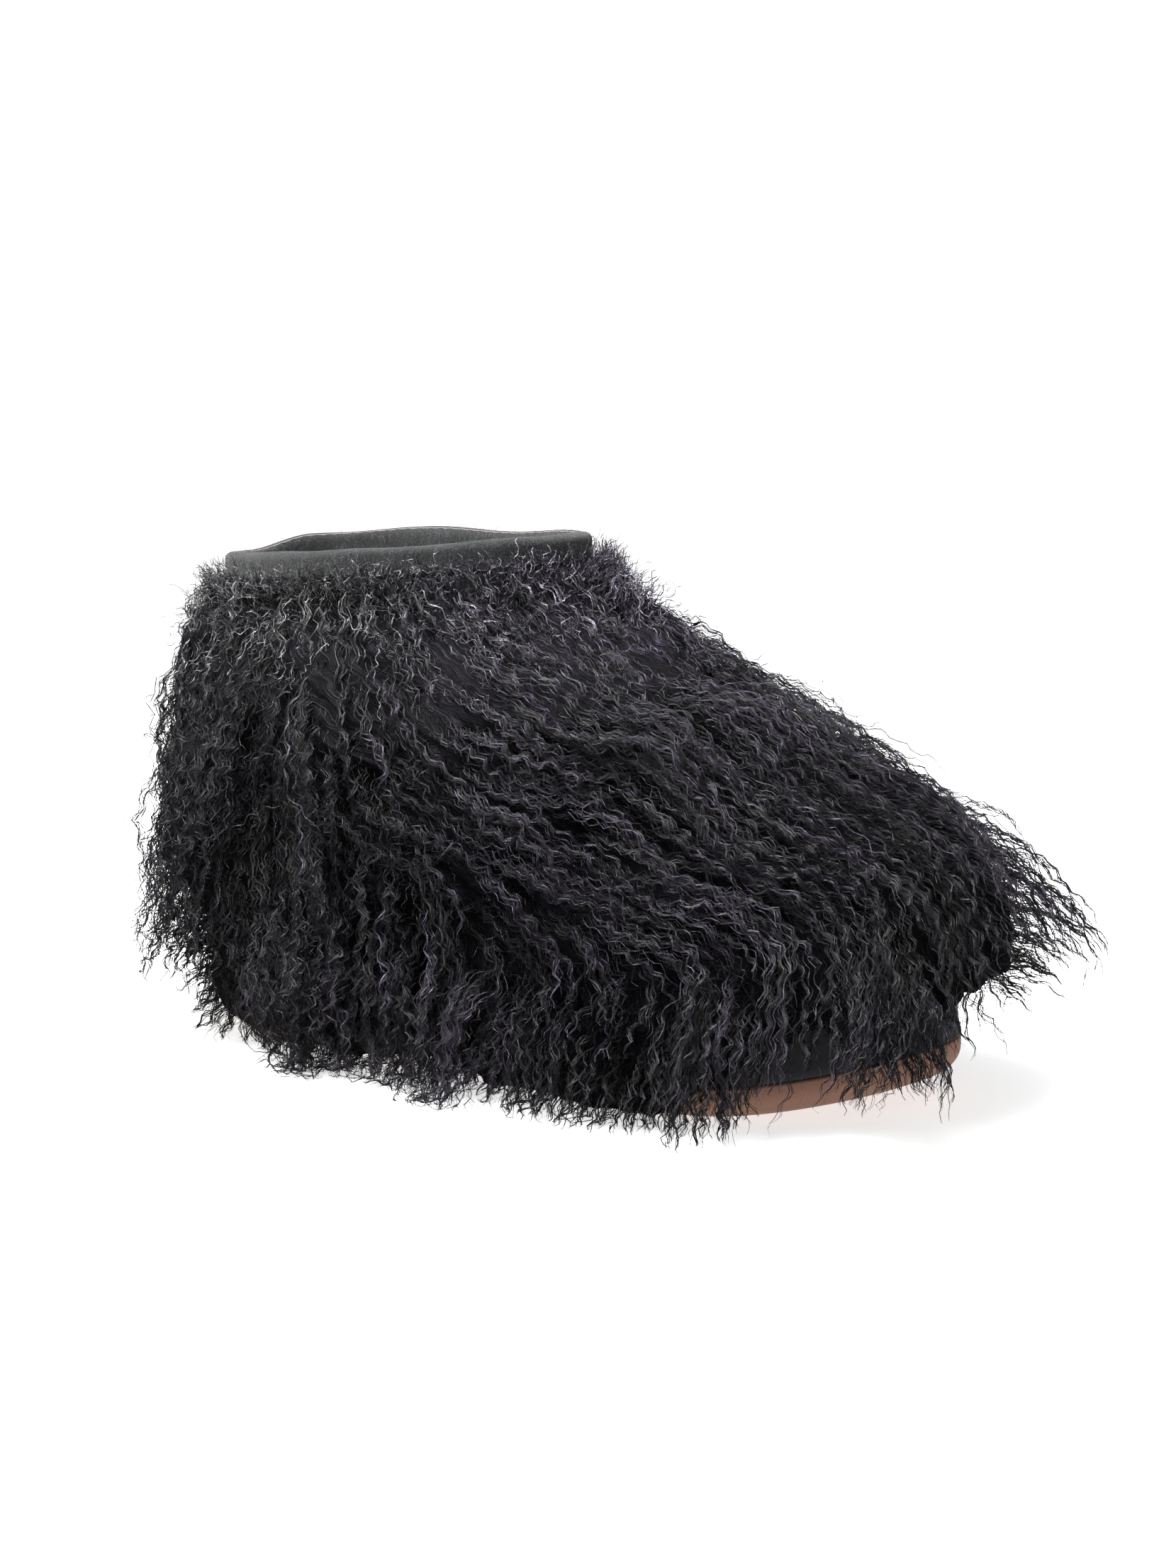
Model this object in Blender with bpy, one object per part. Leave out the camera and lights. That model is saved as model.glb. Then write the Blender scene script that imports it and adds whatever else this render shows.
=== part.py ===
"""A fur ankle slipper for the right foot, standing empty on its sole.

Metres, +Z up. The toe points to -Y and the outer side of the foot to -X. The origin is the
middle of the heel's flat resting spot.
"""

import bmesh
import bpy
import numpy as np

# Driving sizes
LENGTH = 0.262
BALL_WIDTH = 0.093
HEEL_BACK = 0.040
COLLAR_BACK_HEIGHT = 0.160
COLLAR_FRONT_HEIGHT = 0.171
COLLAR_LENGTH = 0.133
COLLAR_WIDTH = 0.075
COLLAR_OVERHANG = -0.002

SOLE_EDGE = 0.010
TOE_SPRING = 0.011
ARCH_RISE = 0.003
HEEL_LIFT = 0.0015

RAND_HEIGHT = 0.021
RAND_WALL = 0.0035
SKIN_WALL = 0.003
INSOLE_THICKNESS = 0.005
COLLAR_BAND = 0.0055
COLLAR_STANDS = 0.010
FACING_WALL = 0.002
GAP = 0.0003

# Columns of points down each side of the shoe, from the middle of the heel to the toe tip, and
# samples in each span of the smooth outline that they are read from
SIDE_COLUMNS = 32
SPAN_SAMPLES = 24
COLLAR_SAMPLES = 384
SHARP_ANGLE = 40

# The sole's outline. Along is measured from the heel's back as a share of LENGTH, and the
# half widths to the outer and the inner side are shares of BALL_WIDTH.
OUTLINE = (
    # along, outer, inner
    (0.032, 0.205, 0.205),
    (0.110, 0.338, 0.338),
    (0.230, 0.362, 0.352),
    (0.370, 0.370, 0.302),
    (0.500, 0.420, 0.322),
    (0.630, 0.492, 0.420),
    (0.715, 0.512, 0.480),
    (0.810, 0.474, 0.492),
    (0.900, 0.335, 0.442),
    (0.964, 0.160, 0.330),
)
TOE_TIP_INWARD = 0.080

# The collar's outline in plan: how much narrower its front is than its back, the power that
# rounds its sides, and the power that crowds its columns towards the back
COLLAR_NARROWING = 0.16
COLLAR_SIDES = 0.86
COLLAR_CROWDING = 0.85

# Where the underside touches the floor, as shares of LENGTH, and the power of the toe's rise
HEEL_FLAT = (0.055, 0.250)
BALL_FLAT = (0.555, 0.735)
TOE_CURVE = 1.7

# The outsole's section, from its top middle over its rounded edge to its bottom middle
SOLE_SECTION = (
    # inset, share_of_edge_height
    (0.0200, 1.000),
    (0.0100, 1.000),
    (0.0010, 1.000),
    (0.0003, 0.930),
    (0.0002, 0.650),
    (0.0012, 0.350),
    (0.0034, 0.130),
    (0.0070, 0.000),
    (0.0180, 0.000),
)

# The insole's section. Inset is measured from the upper's lining.
INSOLE_SECTION = (
    # inset, share_of_thickness
    (0.0140, 1.00),
    (0.0030, 1.00),
    (0.0012, 0.76),
    (0.0003, 0.00),
    (0.0140, 0.00),
)

# The rand's section, from its lower outer edge over its top and down its inner side
RAND_SECTION = (
    # inset, rise
    (0.0004, GAP),
    (0.0000, 0.0020),
    (0.0000, 0.0100),
    (0.0001, 0.0180),
    (0.0008, RAND_HEIGHT - 0.0005),
    (0.0018, RAND_HEIGHT),
    (RAND_WALL, RAND_HEIGHT),
    (RAND_WALL, 0.0100),
    (RAND_WALL, GAP),
)

# The collar's rolled edge, from its inner side over the top to its outer side. Round is how far
# each point lies in from the nearer face, and drop is how far it lies under the rim.
COLLAR_ROLL = (
    # round, drop
    (0.0008, 0.0010),
    (0.0022, 0.0000),
    (0.0022, 0.0000),
    (0.0008, 0.0012),
    (0.0000, 0.0035),
)
COLLAR_FACE_FOOT = 0.006

# How the last rises from the sole to the collar. Place runs round one side from the heel (0)
# to the toe (1). Lean is the inward slope of the wall above the sole, and the two reaches are
# the lengths over which the wall leaves the sole upright and comes up into the collar.
LAST = (
    # place, lean, low_reach, high_reach, waist
    (0.00, 0.02, 0.045, 0.050, 0.006),
    (0.20, 0.03, 0.045, 0.050, 0.005),
    (0.40, 0.06, 0.040, 0.050, 0.002),
    (0.60, 0.10, 0.026, 0.060, 0.000),
    (0.80, 0.16, 0.020, 0.076, 0.000),
    (1.00, 0.20, 0.018, 0.084, 0.000),
)

# The columns over which the sides' fur turns into the vamp's, as places from heel to toe
VAMP_PLACES = (0.52, 0.88)

# Depth of the fur over the skin. Level runs from the top of the rand (0) to the collar (1).
FUR_DEPTH = (
    # level, heel_and_sides, toe_and_vamp
    (0.00, 0.028, 0.042),
    (0.20, 0.029, 0.044),
    (0.45, 0.029, 0.043),
    (0.60, 0.028, 0.040),
    (0.73, 0.027, 0.036),
    (0.86, 0.022, 0.026),
    (0.945, 0.012, 0.014),
    (1.00, 0.004, 0.004),
)
LEVELS = (0.0, 0.10, 0.20, 0.32, 0.45, 0.58, 0.70, 0.80, 0.88, 0.945, 1.0)

# The lower edge of the hanging fur: its height over the floor, how far it stands off the sole's
# edge, and how far the fur stands off halfway up the rand
HEM = (
    # along, height, hem_out, middle_out
    (0.00, 0.006, 0.020, 0.024),
    (0.50, 0.005, 0.021, 0.024),
    (0.62, 0.007, 0.022, 0.025),
    (0.70, 0.011, 0.021, 0.026),
    (0.78, 0.018, 0.019, 0.028),
    (0.86, 0.025, 0.017, 0.031),
    (0.94, 0.031, 0.016, 0.033),
    (1.00, 0.034, 0.016, 0.034),
)
RAND_MIDDLE = 0.010

SOLE_TAN = (0.46, 0.16, 0.07)
FOOTBED_GREY = (0.022, 0.022, 0.024)
RAND_BLACK = (0.012, 0.012, 0.014)
FUR_BLACK = (0.014, 0.014, 0.016)
COLLAR_BLACK = (0.020, 0.021, 0.023)


def column(table, place, name_index):
    """One named column of a table, read at each place."""
    rows = np.array(table)
    return np.interp(place, rows[:, 0], rows[:, name_index])


def closed_curve(points):
    """A smooth closed curve through the points, with SPAN_SAMPLES samples in each span."""
    spans = np.linalg.norm(np.roll(points, -1, axis=0) - points, axis=1)[:, None]
    slopes = (np.roll(points, -1, axis=0) - points) / spans
    before = np.roll(spans, 1, axis=0)
    tangents = (slopes * before + np.roll(slopes, 1, axis=0) * spans) / (spans + before)
    curve = []
    for i, start in enumerate(points):
        end = points[(i + 1) % len(points)]
        leave = tangents[i] * spans[i]
        arrive = tangents[(i + 1) % len(points)] * spans[i]
        for t in np.arange(SPAN_SAMPLES) / SPAN_SAMPLES:
            curve.append(
                start * (2 * t**3 - 3 * t**2 + 1)
                + leave * (t**3 - 2 * t**2 + t)
                + end * (3 * t**2 - 2 * t**3)
                + arrive * (t**3 - t**2)
            )
    return np.array(curve)


def along_line(line, shares):
    """Points of an open line at shares of its length."""
    run = np.concatenate([[0], np.cumsum(np.linalg.norm(np.diff(line, axis=0), axis=1))])
    return np.stack([np.interp(shares * run[-1], run, line[:, k]) for k in range(2)], axis=1)


def round_loop(curve, toe, shares):
    """A closed curve resampled: down the outer side from heel to toe, and back up the inner."""
    outer = along_line(curve[: toe + 1], shares)
    inner = along_line(np.vstack([curve[toe:], curve[:1]])[::-1], shares)
    return np.vstack([outer, inner[-2:0:-1]])


def sole_outline():
    """The sole's edge in plan, one point for each column."""
    along, outer, inner = np.array(OUTLINE).T
    y = HEEL_BACK - along * LENGTH
    heel = [[0.0, HEEL_BACK]]
    toe = [[TOE_TIP_INWARD * BALL_WIDTH, HEEL_BACK - LENGTH]]
    outer_side = np.stack([-outer * BALL_WIDTH, y], axis=1)
    inner_side = np.stack([inner * BALL_WIDTH, y], axis=1)[::-1]
    curve = closed_curve(np.vstack([heel, outer_side, toe, inner_side]))
    toe_sample = (len(OUTLINE) + 1) * SPAN_SAMPLES
    return round_loop(curve, toe_sample, np.linspace(0, 1, SIDE_COLUMNS + 1))


def collar_outline():
    """The collar's skin edge in plan: egg shaped, round at the back and narrower in front."""
    back = HEEL_BACK + COLLAR_OVERHANG
    turn = np.arange(COLLAR_SAMPLES) * 2 * np.pi / COLLAR_SAMPLES
    side, length = np.sin(turn), COLLAR_LENGTH / 2
    y = back - length + length * np.cos(turn)
    half_width = COLLAR_WIDTH / 2 * (1 - COLLAR_NARROWING * (1 - np.cos(turn)) / 2)
    x = -half_width * np.sign(side) * np.abs(side) ** COLLAR_SIDES
    shares = np.linspace(0, 1, SIDE_COLUMNS + 1) ** COLLAR_CROWDING
    return round_loop(np.stack([x, y], axis=1), COLLAR_SAMPLES // 2, shares)


def outward(loop):
    """Unit vectors in plan that point out of a loop."""
    run = np.roll(loop, -1, axis=0) - np.roll(loop, 1, axis=0)
    run /= np.linalg.norm(run, axis=1)[:, None]
    return np.stack([run[:, 1], -run[:, 0]], axis=1)


def tread_height(y):
    """Height of the sole's underside: flat under heel and ball, raised at arch and toe."""
    along = (HEEL_BACK - y) / LENGTH
    back = np.clip(1 - along / HEEL_FLAT[0], 0, 1)
    arch = np.clip((along - HEEL_FLAT[1]) / (BALL_FLAT[0] - HEEL_FLAT[1]), 0, 1)
    toe = np.clip((along - BALL_FLAT[1]) / (1 - BALL_FLAT[1]), 0, 1)
    rise = np.where((arch > 0) & (arch < 1), ARCH_RISE * np.sin(np.pi * arch) ** 2, 0)
    return HEEL_LIFT * back**2 + rise + TOE_SPRING * toe**TOE_CURVE


def on_sole(loop, inset, up):
    """A loop moved in from the sole's edge, at a height over the underside below it."""
    plan = loop - outward(loop) * np.reshape(inset, (-1, 1))
    return np.column_stack([plan, tread_height(plan[:, 1]) + up])


def side_place():
    """Each column's place round its side, 0 at the heel and 1 at the toe."""
    down = np.linspace(0, 1, SIDE_COLUMNS + 1)
    return np.concatenate([down, down[-2:0:-1]])


def wall_loop(inset, rise):
    """A loop on the upright wall over the sole, leaning in as the last does."""
    outline = sole_outline()
    lean = column(LAST, side_place(), 1) * rise
    return on_sole(outline, inset + lean, SOLE_EDGE + rise)


def skin_loops():
    """Loops of the fur skin's outer side, from the top of the rand to under the collar."""
    place = side_place()
    inset = RAND_WALL + GAP
    low = wall_loop(inset, RAND_HEIGHT + GAP)
    plan = collar_outline()
    rise = (COLLAR_FRONT_HEIGHT - COLLAR_BACK_HEIGHT) * (HEEL_BACK - plan[:, 1]) / COLLAR_LENGTH
    high = np.column_stack([plan, COLLAR_BACK_HEIGHT + rise - COLLAR_STANDS])
    lean, low_reach, high_reach, waist = (column(LAST, place, k)[:, None] for k in (1, 2, 3, 4))
    out_low = np.column_stack([outward(sole_outline()), np.zeros(len(low))])
    out_high = np.column_stack([outward(plan), np.zeros(len(low))])
    up = np.array([0.0, 0.0, 1.0])
    leave = low + (up - out_low * lean) * low_reach
    arrive = high - up * high_reach - out_high * waist
    loops = []
    for t in LEVELS:
        loops.append(
            low * (1 - t) ** 3
            + leave * 3 * t * (1 - t) ** 2
            + arrive * 3 * t**2 * (1 - t)
            + high * t**3
        )
    return loops


def normals_of(loops):
    """Outward unit normals of a stack of loops that goes up, level at the collar."""
    grid = np.array(loops)
    round_about = np.roll(grid, -1, axis=1) - np.roll(grid, 1, axis=1)
    up = np.gradient(grid, axis=0)
    normals = np.cross(round_about, up)
    normals[-1] = np.column_stack([outward(grid[-1, :, :2]), np.zeros(grid.shape[1])])
    return normals / np.linalg.norm(normals, axis=2)[:, :, None]


def toe_share():
    """How far each column belongs to the toe and vamp, from 0 at heel and sides to 1."""
    share = np.clip((side_place() - VAMP_PLACES[0]) / np.ptp(VAMP_PLACES), 0, 1)
    return share**2 * (3 - 2 * share)


def fur_loops(skin, normals):
    """Loops of the fur's outer face, from the top of the rand to the collar."""
    share = toe_share()
    loops = []
    for level, loop, normal in zip(LEVELS, skin, normals):
        sides = column(FUR_DEPTH, level, 1)
        toe = column(FUR_DEPTH, level, 2)
        depth = sides + (toe - sides) * share
        loops.append(loop + normal * depth[:, None])
    return loops


def hem_loops():
    """Loops of the fur's lower edge, from its outer face round under it to the rand's top."""
    outline = sole_outline()
    along = (HEEL_BACK - outline[:, 1]) / LENGTH
    height, hem_out, middle_out = (column(HEM, along, k) for k in (1, 2, 3))
    wall_foot = tread_height(outline[:, 1]) + SOLE_EDGE
    middle = wall_loop(-middle_out, 0.0)
    middle[:, 2] = (height + wall_foot + RAND_HEIGHT) / 2
    outer = wall_loop(-hem_out, 0.0)
    outer[:, 2] = height
    inner = wall_loop(-GAP, height - wall_foot)
    inner[:, 2] = height
    return [middle, outer, inner, wall_loop(-GAP, RAND_HEIGHT + GAP)]


def ring_solid(name, loops, material):
    """A ring made of loops that go once round its section, the last joining the first."""
    mesh = bmesh.new()
    rings = [[mesh.verts.new(point) for point in loop] for loop in loops]
    for ring, following in zip(rings, rings[1:] + rings[:1]):
        for j in range(len(ring)):
            k = (j + 1) % len(ring)
            mesh.faces.new((ring[j], ring[k], following[k], following[j]))
    return finished(name, mesh, material)


def plate_solid(name, loops, material):
    """A plate made of loops from its top middle, over its edge, to its bottom middle."""
    mesh = bmesh.new()
    rings = [[mesh.verts.new(point) for point in loop] for loop in loops]
    for ring, following in zip(rings, rings[1:]):
        for j in range(len(ring)):
            k = (j + 1) % len(ring)
            mesh.faces.new((ring[j], ring[k], following[k], following[j]))
    for ring in (rings[0], rings[-1]):
        close_across(mesh, ring)
    return finished(name, mesh, material)


def close_across(mesh, ring):
    """Fills a loop with faces that run from its outer to its inner side."""
    last = len(ring)
    mesh.faces.new((ring[0], ring[1], ring[last - 1]))
    for j in range(1, SIDE_COLUMNS - 1):
        mesh.faces.new((ring[j], ring[j + 1], ring[last - j - 1], ring[last - j]))
    mesh.faces.new((ring[SIDE_COLUMNS - 1], ring[SIDE_COLUMNS], ring[SIDE_COLUMNS + 1]))


def finished(name, mesh, material):
    """The object of a closed mesh, facing out, triangulated and shaded smooth."""
    bmesh.ops.recalc_face_normals(mesh, faces=mesh.faces)
    bmesh.ops.triangulate(mesh, faces=mesh.faces)
    data = bpy.data.meshes.new(name)
    mesh.to_mesh(data)
    mesh.free()
    data.shade_smooth()
    data.set_sharp_from_angle(angle=np.radians(SHARP_ANGLE))
    data.materials.append(material)
    obj = bpy.data.objects.new(name, data)
    bpy.context.collection.objects.link(obj)
    return obj


def plain_material(name, colour, roughness):
    material = bpy.data.materials.new(name)
    material.use_nodes = True
    shader = material.node_tree.nodes["Principled BSDF"]
    shader.inputs["Base Color"].default_value = (*colour, 1.0)
    shader.inputs["Roughness"].default_value = roughness
    shader.inputs["Metallic"].default_value = 0.0
    return material


def make_outsole():
    """The tan sole: a slab with a rounded lower edge."""
    outline = sole_outline()
    loops = [on_sole(outline, inset, SOLE_EDGE * share) for inset, share in SOLE_SECTION]
    return plate_solid("outsole", loops, plain_material("sole_tan", SOLE_TAN, 0.55))


def make_insole():
    """The footbed that lies on the sole inside the upper."""
    outline = sole_outline()
    lining_inset = RAND_WALL + GAP + SKIN_WALL + GAP
    loops = []
    for inset, share in INSOLE_SECTION:
        up = SOLE_EDGE + GAP + INSOLE_THICKNESS * share
        loops.append(on_sole(outline, lining_inset + inset, up))
    return plate_solid("insole", loops, plain_material("felt_bed", FOOTBED_GREY, 0.95))


def make_rand():
    """The smooth black band that stands on the sole's edge."""
    loops = [wall_loop(inset, rise) for inset, rise in RAND_SECTION]
    return ring_solid("rand", loops, plain_material("rand_black", RAND_BLACK, 0.5))


def make_upper(skin, normals):
    """The fur upper: one hollow wall of skin and deep fur, open at the collar and underneath."""
    skin_inset = RAND_WALL + GAP
    lining_inset = skin_inset + SKIN_WALL
    lining = [loop - normal * SKIN_WALL for loop, normal in zip(skin, normals)]
    lining[0] = wall_loop(lining_inset, RAND_HEIGHT + GAP)
    fur = fur_loops(skin, normals)
    loops = [wall_loop(lining_inset, rise) for rise in (GAP, RAND_MIDDLE)]
    loops += lining
    loops += fur[::-1]
    loops += hem_loops()
    loops += [wall_loop(skin_inset, rise) for rise in (RAND_HEIGHT + GAP, RAND_MIDDLE, GAP)]
    return ring_solid("upper", loops, plain_material("fur_black", FUR_BLACK, 0.8))


def make_collar(skin, normals):
    """The felt collar: a thick rolled band over the upper's edge, with a facing inside it."""
    top_edge = skin[-1]
    plan_out = np.column_stack([outward(top_edge[:, :2]), np.zeros(len(top_edge))])
    up = np.array([0.0, 0.0, 1.0])
    clear = SKIN_WALL + GAP
    inner = clear + FACING_WALL
    outer = COLLAR_BAND - inner
    facing_in = [skin[k] - normals[k] * inner for k in (-3, -2, -1)]
    facing_out = [skin[k] - normals[k] * (clear + GAP) for k in (-1, -2, -3)]
    # how far in from the skin's outer side, and how far over the upper's top edge
    band = [(inner, COLLAR_FACE_FOOT)]
    band += [(inner - turned, COLLAR_STANDS - drop) for turned, drop in COLLAR_ROLL[:2]]
    band += [(turned - outer, COLLAR_STANDS - drop) for turned, drop in COLLAR_ROLL[2:]]
    band += [(-outer, GAP), (clear, GAP)]
    loops = facing_in
    loops += [top_edge - plan_out * inset + up * rise for inset, rise in band]
    loops += facing_out
    return ring_solid("collar", loops, plain_material("felt_black", COLLAR_BLACK, 0.95))


def main():
    for obj in list(bpy.data.objects):
        bpy.data.objects.remove(obj)
    skin = skin_loops()
    normals = normals_of(skin)
    make_outsole()
    make_insole()
    make_rand()
    make_upper(skin, normals)
    make_collar(skin, normals)


main()
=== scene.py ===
"""Looks of a fur ankle slipper for the right foot, standing empty on its sole.

Metres, +Z up. The toe points to -Y and the outer side of the foot to -X. The fur is long crimped
lamb locks on a lambskin upper, over a smooth black rand and a tan leather sole, under a thick
felt collar.
"""

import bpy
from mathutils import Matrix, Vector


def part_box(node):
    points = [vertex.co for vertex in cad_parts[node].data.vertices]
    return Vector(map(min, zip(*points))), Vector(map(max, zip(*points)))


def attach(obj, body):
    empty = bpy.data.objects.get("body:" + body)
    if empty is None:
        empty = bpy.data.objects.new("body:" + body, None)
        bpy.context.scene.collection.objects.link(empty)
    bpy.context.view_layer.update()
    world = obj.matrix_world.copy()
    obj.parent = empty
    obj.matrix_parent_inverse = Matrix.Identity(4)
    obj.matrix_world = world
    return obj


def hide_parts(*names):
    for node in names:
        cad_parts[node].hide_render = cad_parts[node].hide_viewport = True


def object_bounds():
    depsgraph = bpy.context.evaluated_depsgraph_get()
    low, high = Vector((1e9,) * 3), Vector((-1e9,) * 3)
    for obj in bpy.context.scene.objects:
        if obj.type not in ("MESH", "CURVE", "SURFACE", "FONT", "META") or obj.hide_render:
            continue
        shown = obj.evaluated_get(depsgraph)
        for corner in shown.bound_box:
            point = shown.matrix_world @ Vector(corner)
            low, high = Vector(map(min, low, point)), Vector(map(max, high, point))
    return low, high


bl_info = {
    "name": "Fur Ankle Slipper",
    "version": (1, 0, 0),
    "blender": (4, 5, 0),
    "location": "View3D > Sidebar > Slipper",
    "description": "Builds the fur, felt and leather of an ankle slipper over its packed frame",
    "category": "Object",
}

import bmesh
import bpy
import numpy as np
from bpy.props import FloatProperty, FloatVectorProperty, IntProperty, PointerProperty
from mathutils import Vector, noise
from mathutils.bvhtree import BVHTree
from mathutils.kdtree import KDTree

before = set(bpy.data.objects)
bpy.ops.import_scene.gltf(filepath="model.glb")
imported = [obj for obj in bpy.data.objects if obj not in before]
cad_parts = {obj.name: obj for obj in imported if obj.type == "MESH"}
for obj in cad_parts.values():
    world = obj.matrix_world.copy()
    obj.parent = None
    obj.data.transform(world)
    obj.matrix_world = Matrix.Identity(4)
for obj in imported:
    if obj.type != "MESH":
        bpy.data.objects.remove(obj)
CAD_BOX = [list(corner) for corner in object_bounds()]
SOLE_LOW, SOLE_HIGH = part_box("outsole")
COLLAR_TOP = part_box("collar")[1].z

# ---- Shape tables, as the frame has them ----

# The sole's outline. Along is measured from the heel's back as a share of the length, and the
# half widths to the outer and the inner side are shares of the ball's width.
OUTLINE = (
    # along, outer, inner
    (0.032, 0.205, 0.205),
    (0.110, 0.338, 0.338),
    (0.230, 0.362, 0.352),
    (0.370, 0.370, 0.302),
    (0.500, 0.420, 0.322),
    (0.630, 0.492, 0.420),
    (0.715, 0.512, 0.480),
    (0.810, 0.474, 0.492),
    (0.900, 0.335, 0.442),
    (0.964, 0.160, 0.330),
)
TOE_TIP_INWARD = 0.080

# Where the underside touches the floor, as shares of the length, and the toe's rising curve
HEEL_FLAT = (0.055, 0.250)
BALL_FLAT = (0.555, 0.735)
TOE_CURVE = 1.7

# The collar's outline: narrowing towards the front, power of its sides, crowding to the back
COLLAR_NARROWING = 0.16
COLLAR_SIDES = 0.86
COLLAR_CROWDING = 0.85

# How the last rises from the sole to the collar, by place round one side from heel to toe
LAST = (
    # place, lean, low_reach, high_reach, waist
    (0.00, 0.02, 0.045, 0.050, 0.006),
    (0.20, 0.03, 0.045, 0.050, 0.005),
    (0.40, 0.06, 0.040, 0.050, 0.002),
    (0.60, 0.10, 0.026, 0.060, 0.000),
    (0.80, 0.16, 0.020, 0.076, 0.000),
    (1.00, 0.20, 0.018, 0.084, 0.000),
)

# Depth of the fur over the skin, by level from the top of the rand to the collar
FUR_DEPTH = (
    # level, heel_and_sides, toe_and_vamp
    (0.00, 0.027, 0.038),
    (0.20, 0.029, 0.040),
    (0.45, 0.029, 0.043),
    (0.60, 0.028, 0.046),
    (0.73, 0.027, 0.048),
    (0.86, 0.021, 0.038),
    (0.945, 0.0095, 0.018),
    (1.00, 0.0085, 0.0100),
)
VAMP_PLACES = (0.52, 0.88)

# How much less deep the fur is over the back of the heel: at its hem, how much of that is made up
# higher, the level by which it is, and the place where the heel's fur ends
HEEL_LESS = 0.22
HEEL_MADE_UP = 0.21
HEEL_LEVEL = 0.40
HEEL_PLACE = 0.40

# How finely loops are sampled: columns down one side of each loop, samples in each span of the
# sole's curve and round the collar, rows up the skin, and rows up the wall below it
SIDE_COLUMNS = 96
SPAN_SAMPLES = 24
COLLAR_SAMPLES = 768
SKIN_ROWS = 31
WALL_ROWS = 7

# ---- Fur tables ----

# The dense wool's share of the fur's depth by level, and what is added low on heel and toe
WOOL_SHARE = (
    # level, share
    (0.00, 0.55),
    (0.25, 0.70),
    (0.80, 0.72),
    (0.92, 0.64),
    (1.00, 0.60),
)
HEEL_WOOL = 0.12
TOE_WOOL = 0.16

# How far the wool's hem hangs below the rand's top by place, the share of its thickness by which
# it tucks in, and the level that stands for its lower end
HEM_DROP = (
    # place, drop
    (0.00, 0.016),
    (0.14, 0.025),
    (0.30, 0.028),
    (0.69, 0.028),
    (0.77, 0.012),
    (0.83, 0.005),
    (1.00, 0.003),
)
HEM_TUCK = 0.35
HEM_LEVEL = -0.25

# How the wool's mesh is made: rows in its hem and up its inner side, and the parts that each cell
# of its outer side is split into, up and across
HEM_ROWS = 5
WOOL_INNER_ROWS = 16
WOOL_ROWS = 2
WOOL_COLUMNS = 2

# The length round one side by which the strands' lie counts across, and the least share of the
# comb that counts as downward
SIDE_LENGTH = 0.36
LEAST_DOWNWARD = 0.25

# Where most locks end over the floor, by place: where the band and the sole show under the fur
HEM_LINE = (
    # place, height
    (0.00, 0.030),
    (0.12, 0.022),
    (0.22, 0.004),
    (0.30, 0.000),
    (0.74, 0.000),
    (0.78, 0.014),
    (0.84, 0.031),
    (0.92, 0.034),
    (1.00, 0.030),
)

# The height that the locks over the toe end above, by how far forward of the origin they reach
TOE_LINE = (
    # forward, height
    (0.205, 0.015),
    (0.217, 0.023),
    (0.239, 0.028),
    (0.249, 0.043),
    (0.259, 0.057),
    (0.270, 0.072),
)

# A tuft of longer locks that hangs over the outer side of the toe: the middle and half the width
# of its places, the level that its roots lie under, its own hem line, its fall, and its spacing
# as a share of the skirt's
TUFT_PLACE = 0.886
TUFT_WIDTH = 0.034
TUFT_LEVEL = 0.10
TUFT_LINE = 0.020
TUFT_FALL = 0.80
TUFT_CLOSER = 0.6

# The skirt of closer locks at the hem: the level that its roots lie under, and where it ends
SKIRT_LEVEL = 0.12
SKIRT_PLACE = 0.79

# Where more fuzz grows under the collar: over each level, with a spacing that is a share of the
# rest's
CLOSER_FUZZ = (
    # level, share
    (0.90, 0.38),
    (0.96, 0.36),
)

# From which level up the fur is painted paler, as painted light from above, and how much the
# locks' and the fuzz's tone rises there
PAINTED_LIGHT_LEVEL = 0.76
LOCK_PAINTED_LIGHT = 2.7
FUZZ_PAINTED_LIGHT = 9.5

# How the fur's colours are multiplied towards the toe, where they have a violet cast
VIOLET = (0.93, 0.85, 1.05)

# The levels that stand for the wall under the skin, from the floor up
WALL_LEVELS = (-0.35, -0.02)

# How the comb wanders from its way
WANDER = (
    # angle, size, seed
    (0.85, 0.034, 4),
    (0.35, 0.015, 6),
)

# How many places are tried for each root, to leave no gap between the roots
TRIES_PER_ROOT = 7

# How far the fur may stand out of the frame's box, as a share of its sides and as lengths
PROUD_SHARE = 0.03
PROUD_LENGTH = (0.0030, 0.0055, 0.0)

# A lock's path: the length and number of its steps, its least height over the floor, the height
# under which it lies on the floor, the depth of its root, how much its first heading and its
# drift vary, the height over which it is drawn to its own level, and how far it goes to turn
PATH_STEP = 0.003
PATH_STEPS = 31
FLOOR_CLEARANCE = 0.0010
FLOOR_REACH = 0.004
ROOT_DEPTH = 0.002
HEADING_SPREAD = 0.28
DRIFT_SPREAD = 0.20
LIFT_HEIGHT = 0.014
TURN_LENGTH = 0.011

# The fuzz's paths: their steps, the depth of their roots, and how much their heading varies
FUZZ_STEPS = 9
FUZZ_ROOT_DEPTH = 0.001
FUZZ_SPREAD = 0.55

# Clumps: the distance between the roots of two leading locks, how far the others follow their
# leader, and how much closer to it than their roots their tips lie
LEAD_SPACING = 0.018
CLUMP_STRENGTH = 0.85
CLUMP_CLOSER = 0.85

# The slow wave that the locks of a clump share: its length, its depth, and how far from the root
# it is full
SWAY_LENGTH = 0.024
SWAY_DEPTH = 0.0028
SWAY_GROWTH = 0.06

# How far the fur is combed towards the toe and not straight down, by place round a side, and
# how much of that is left at each level
COMB_FORWARD = (
    # place, share
    (0.00, 0.00),
    (0.20, 0.08),
    (0.40, 0.35),
    (0.60, 0.75),
    (0.80, 1.00),
    (1.00, 0.90),
)
COMB_LEVEL = (
    # level, share
    (-0.20, 0.05),
    (0.00, 0.15),
    (0.20, 0.50),
    (0.45, 1.00),
    (0.70, 1.00),
    (1.00, 0.60),
)

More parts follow.
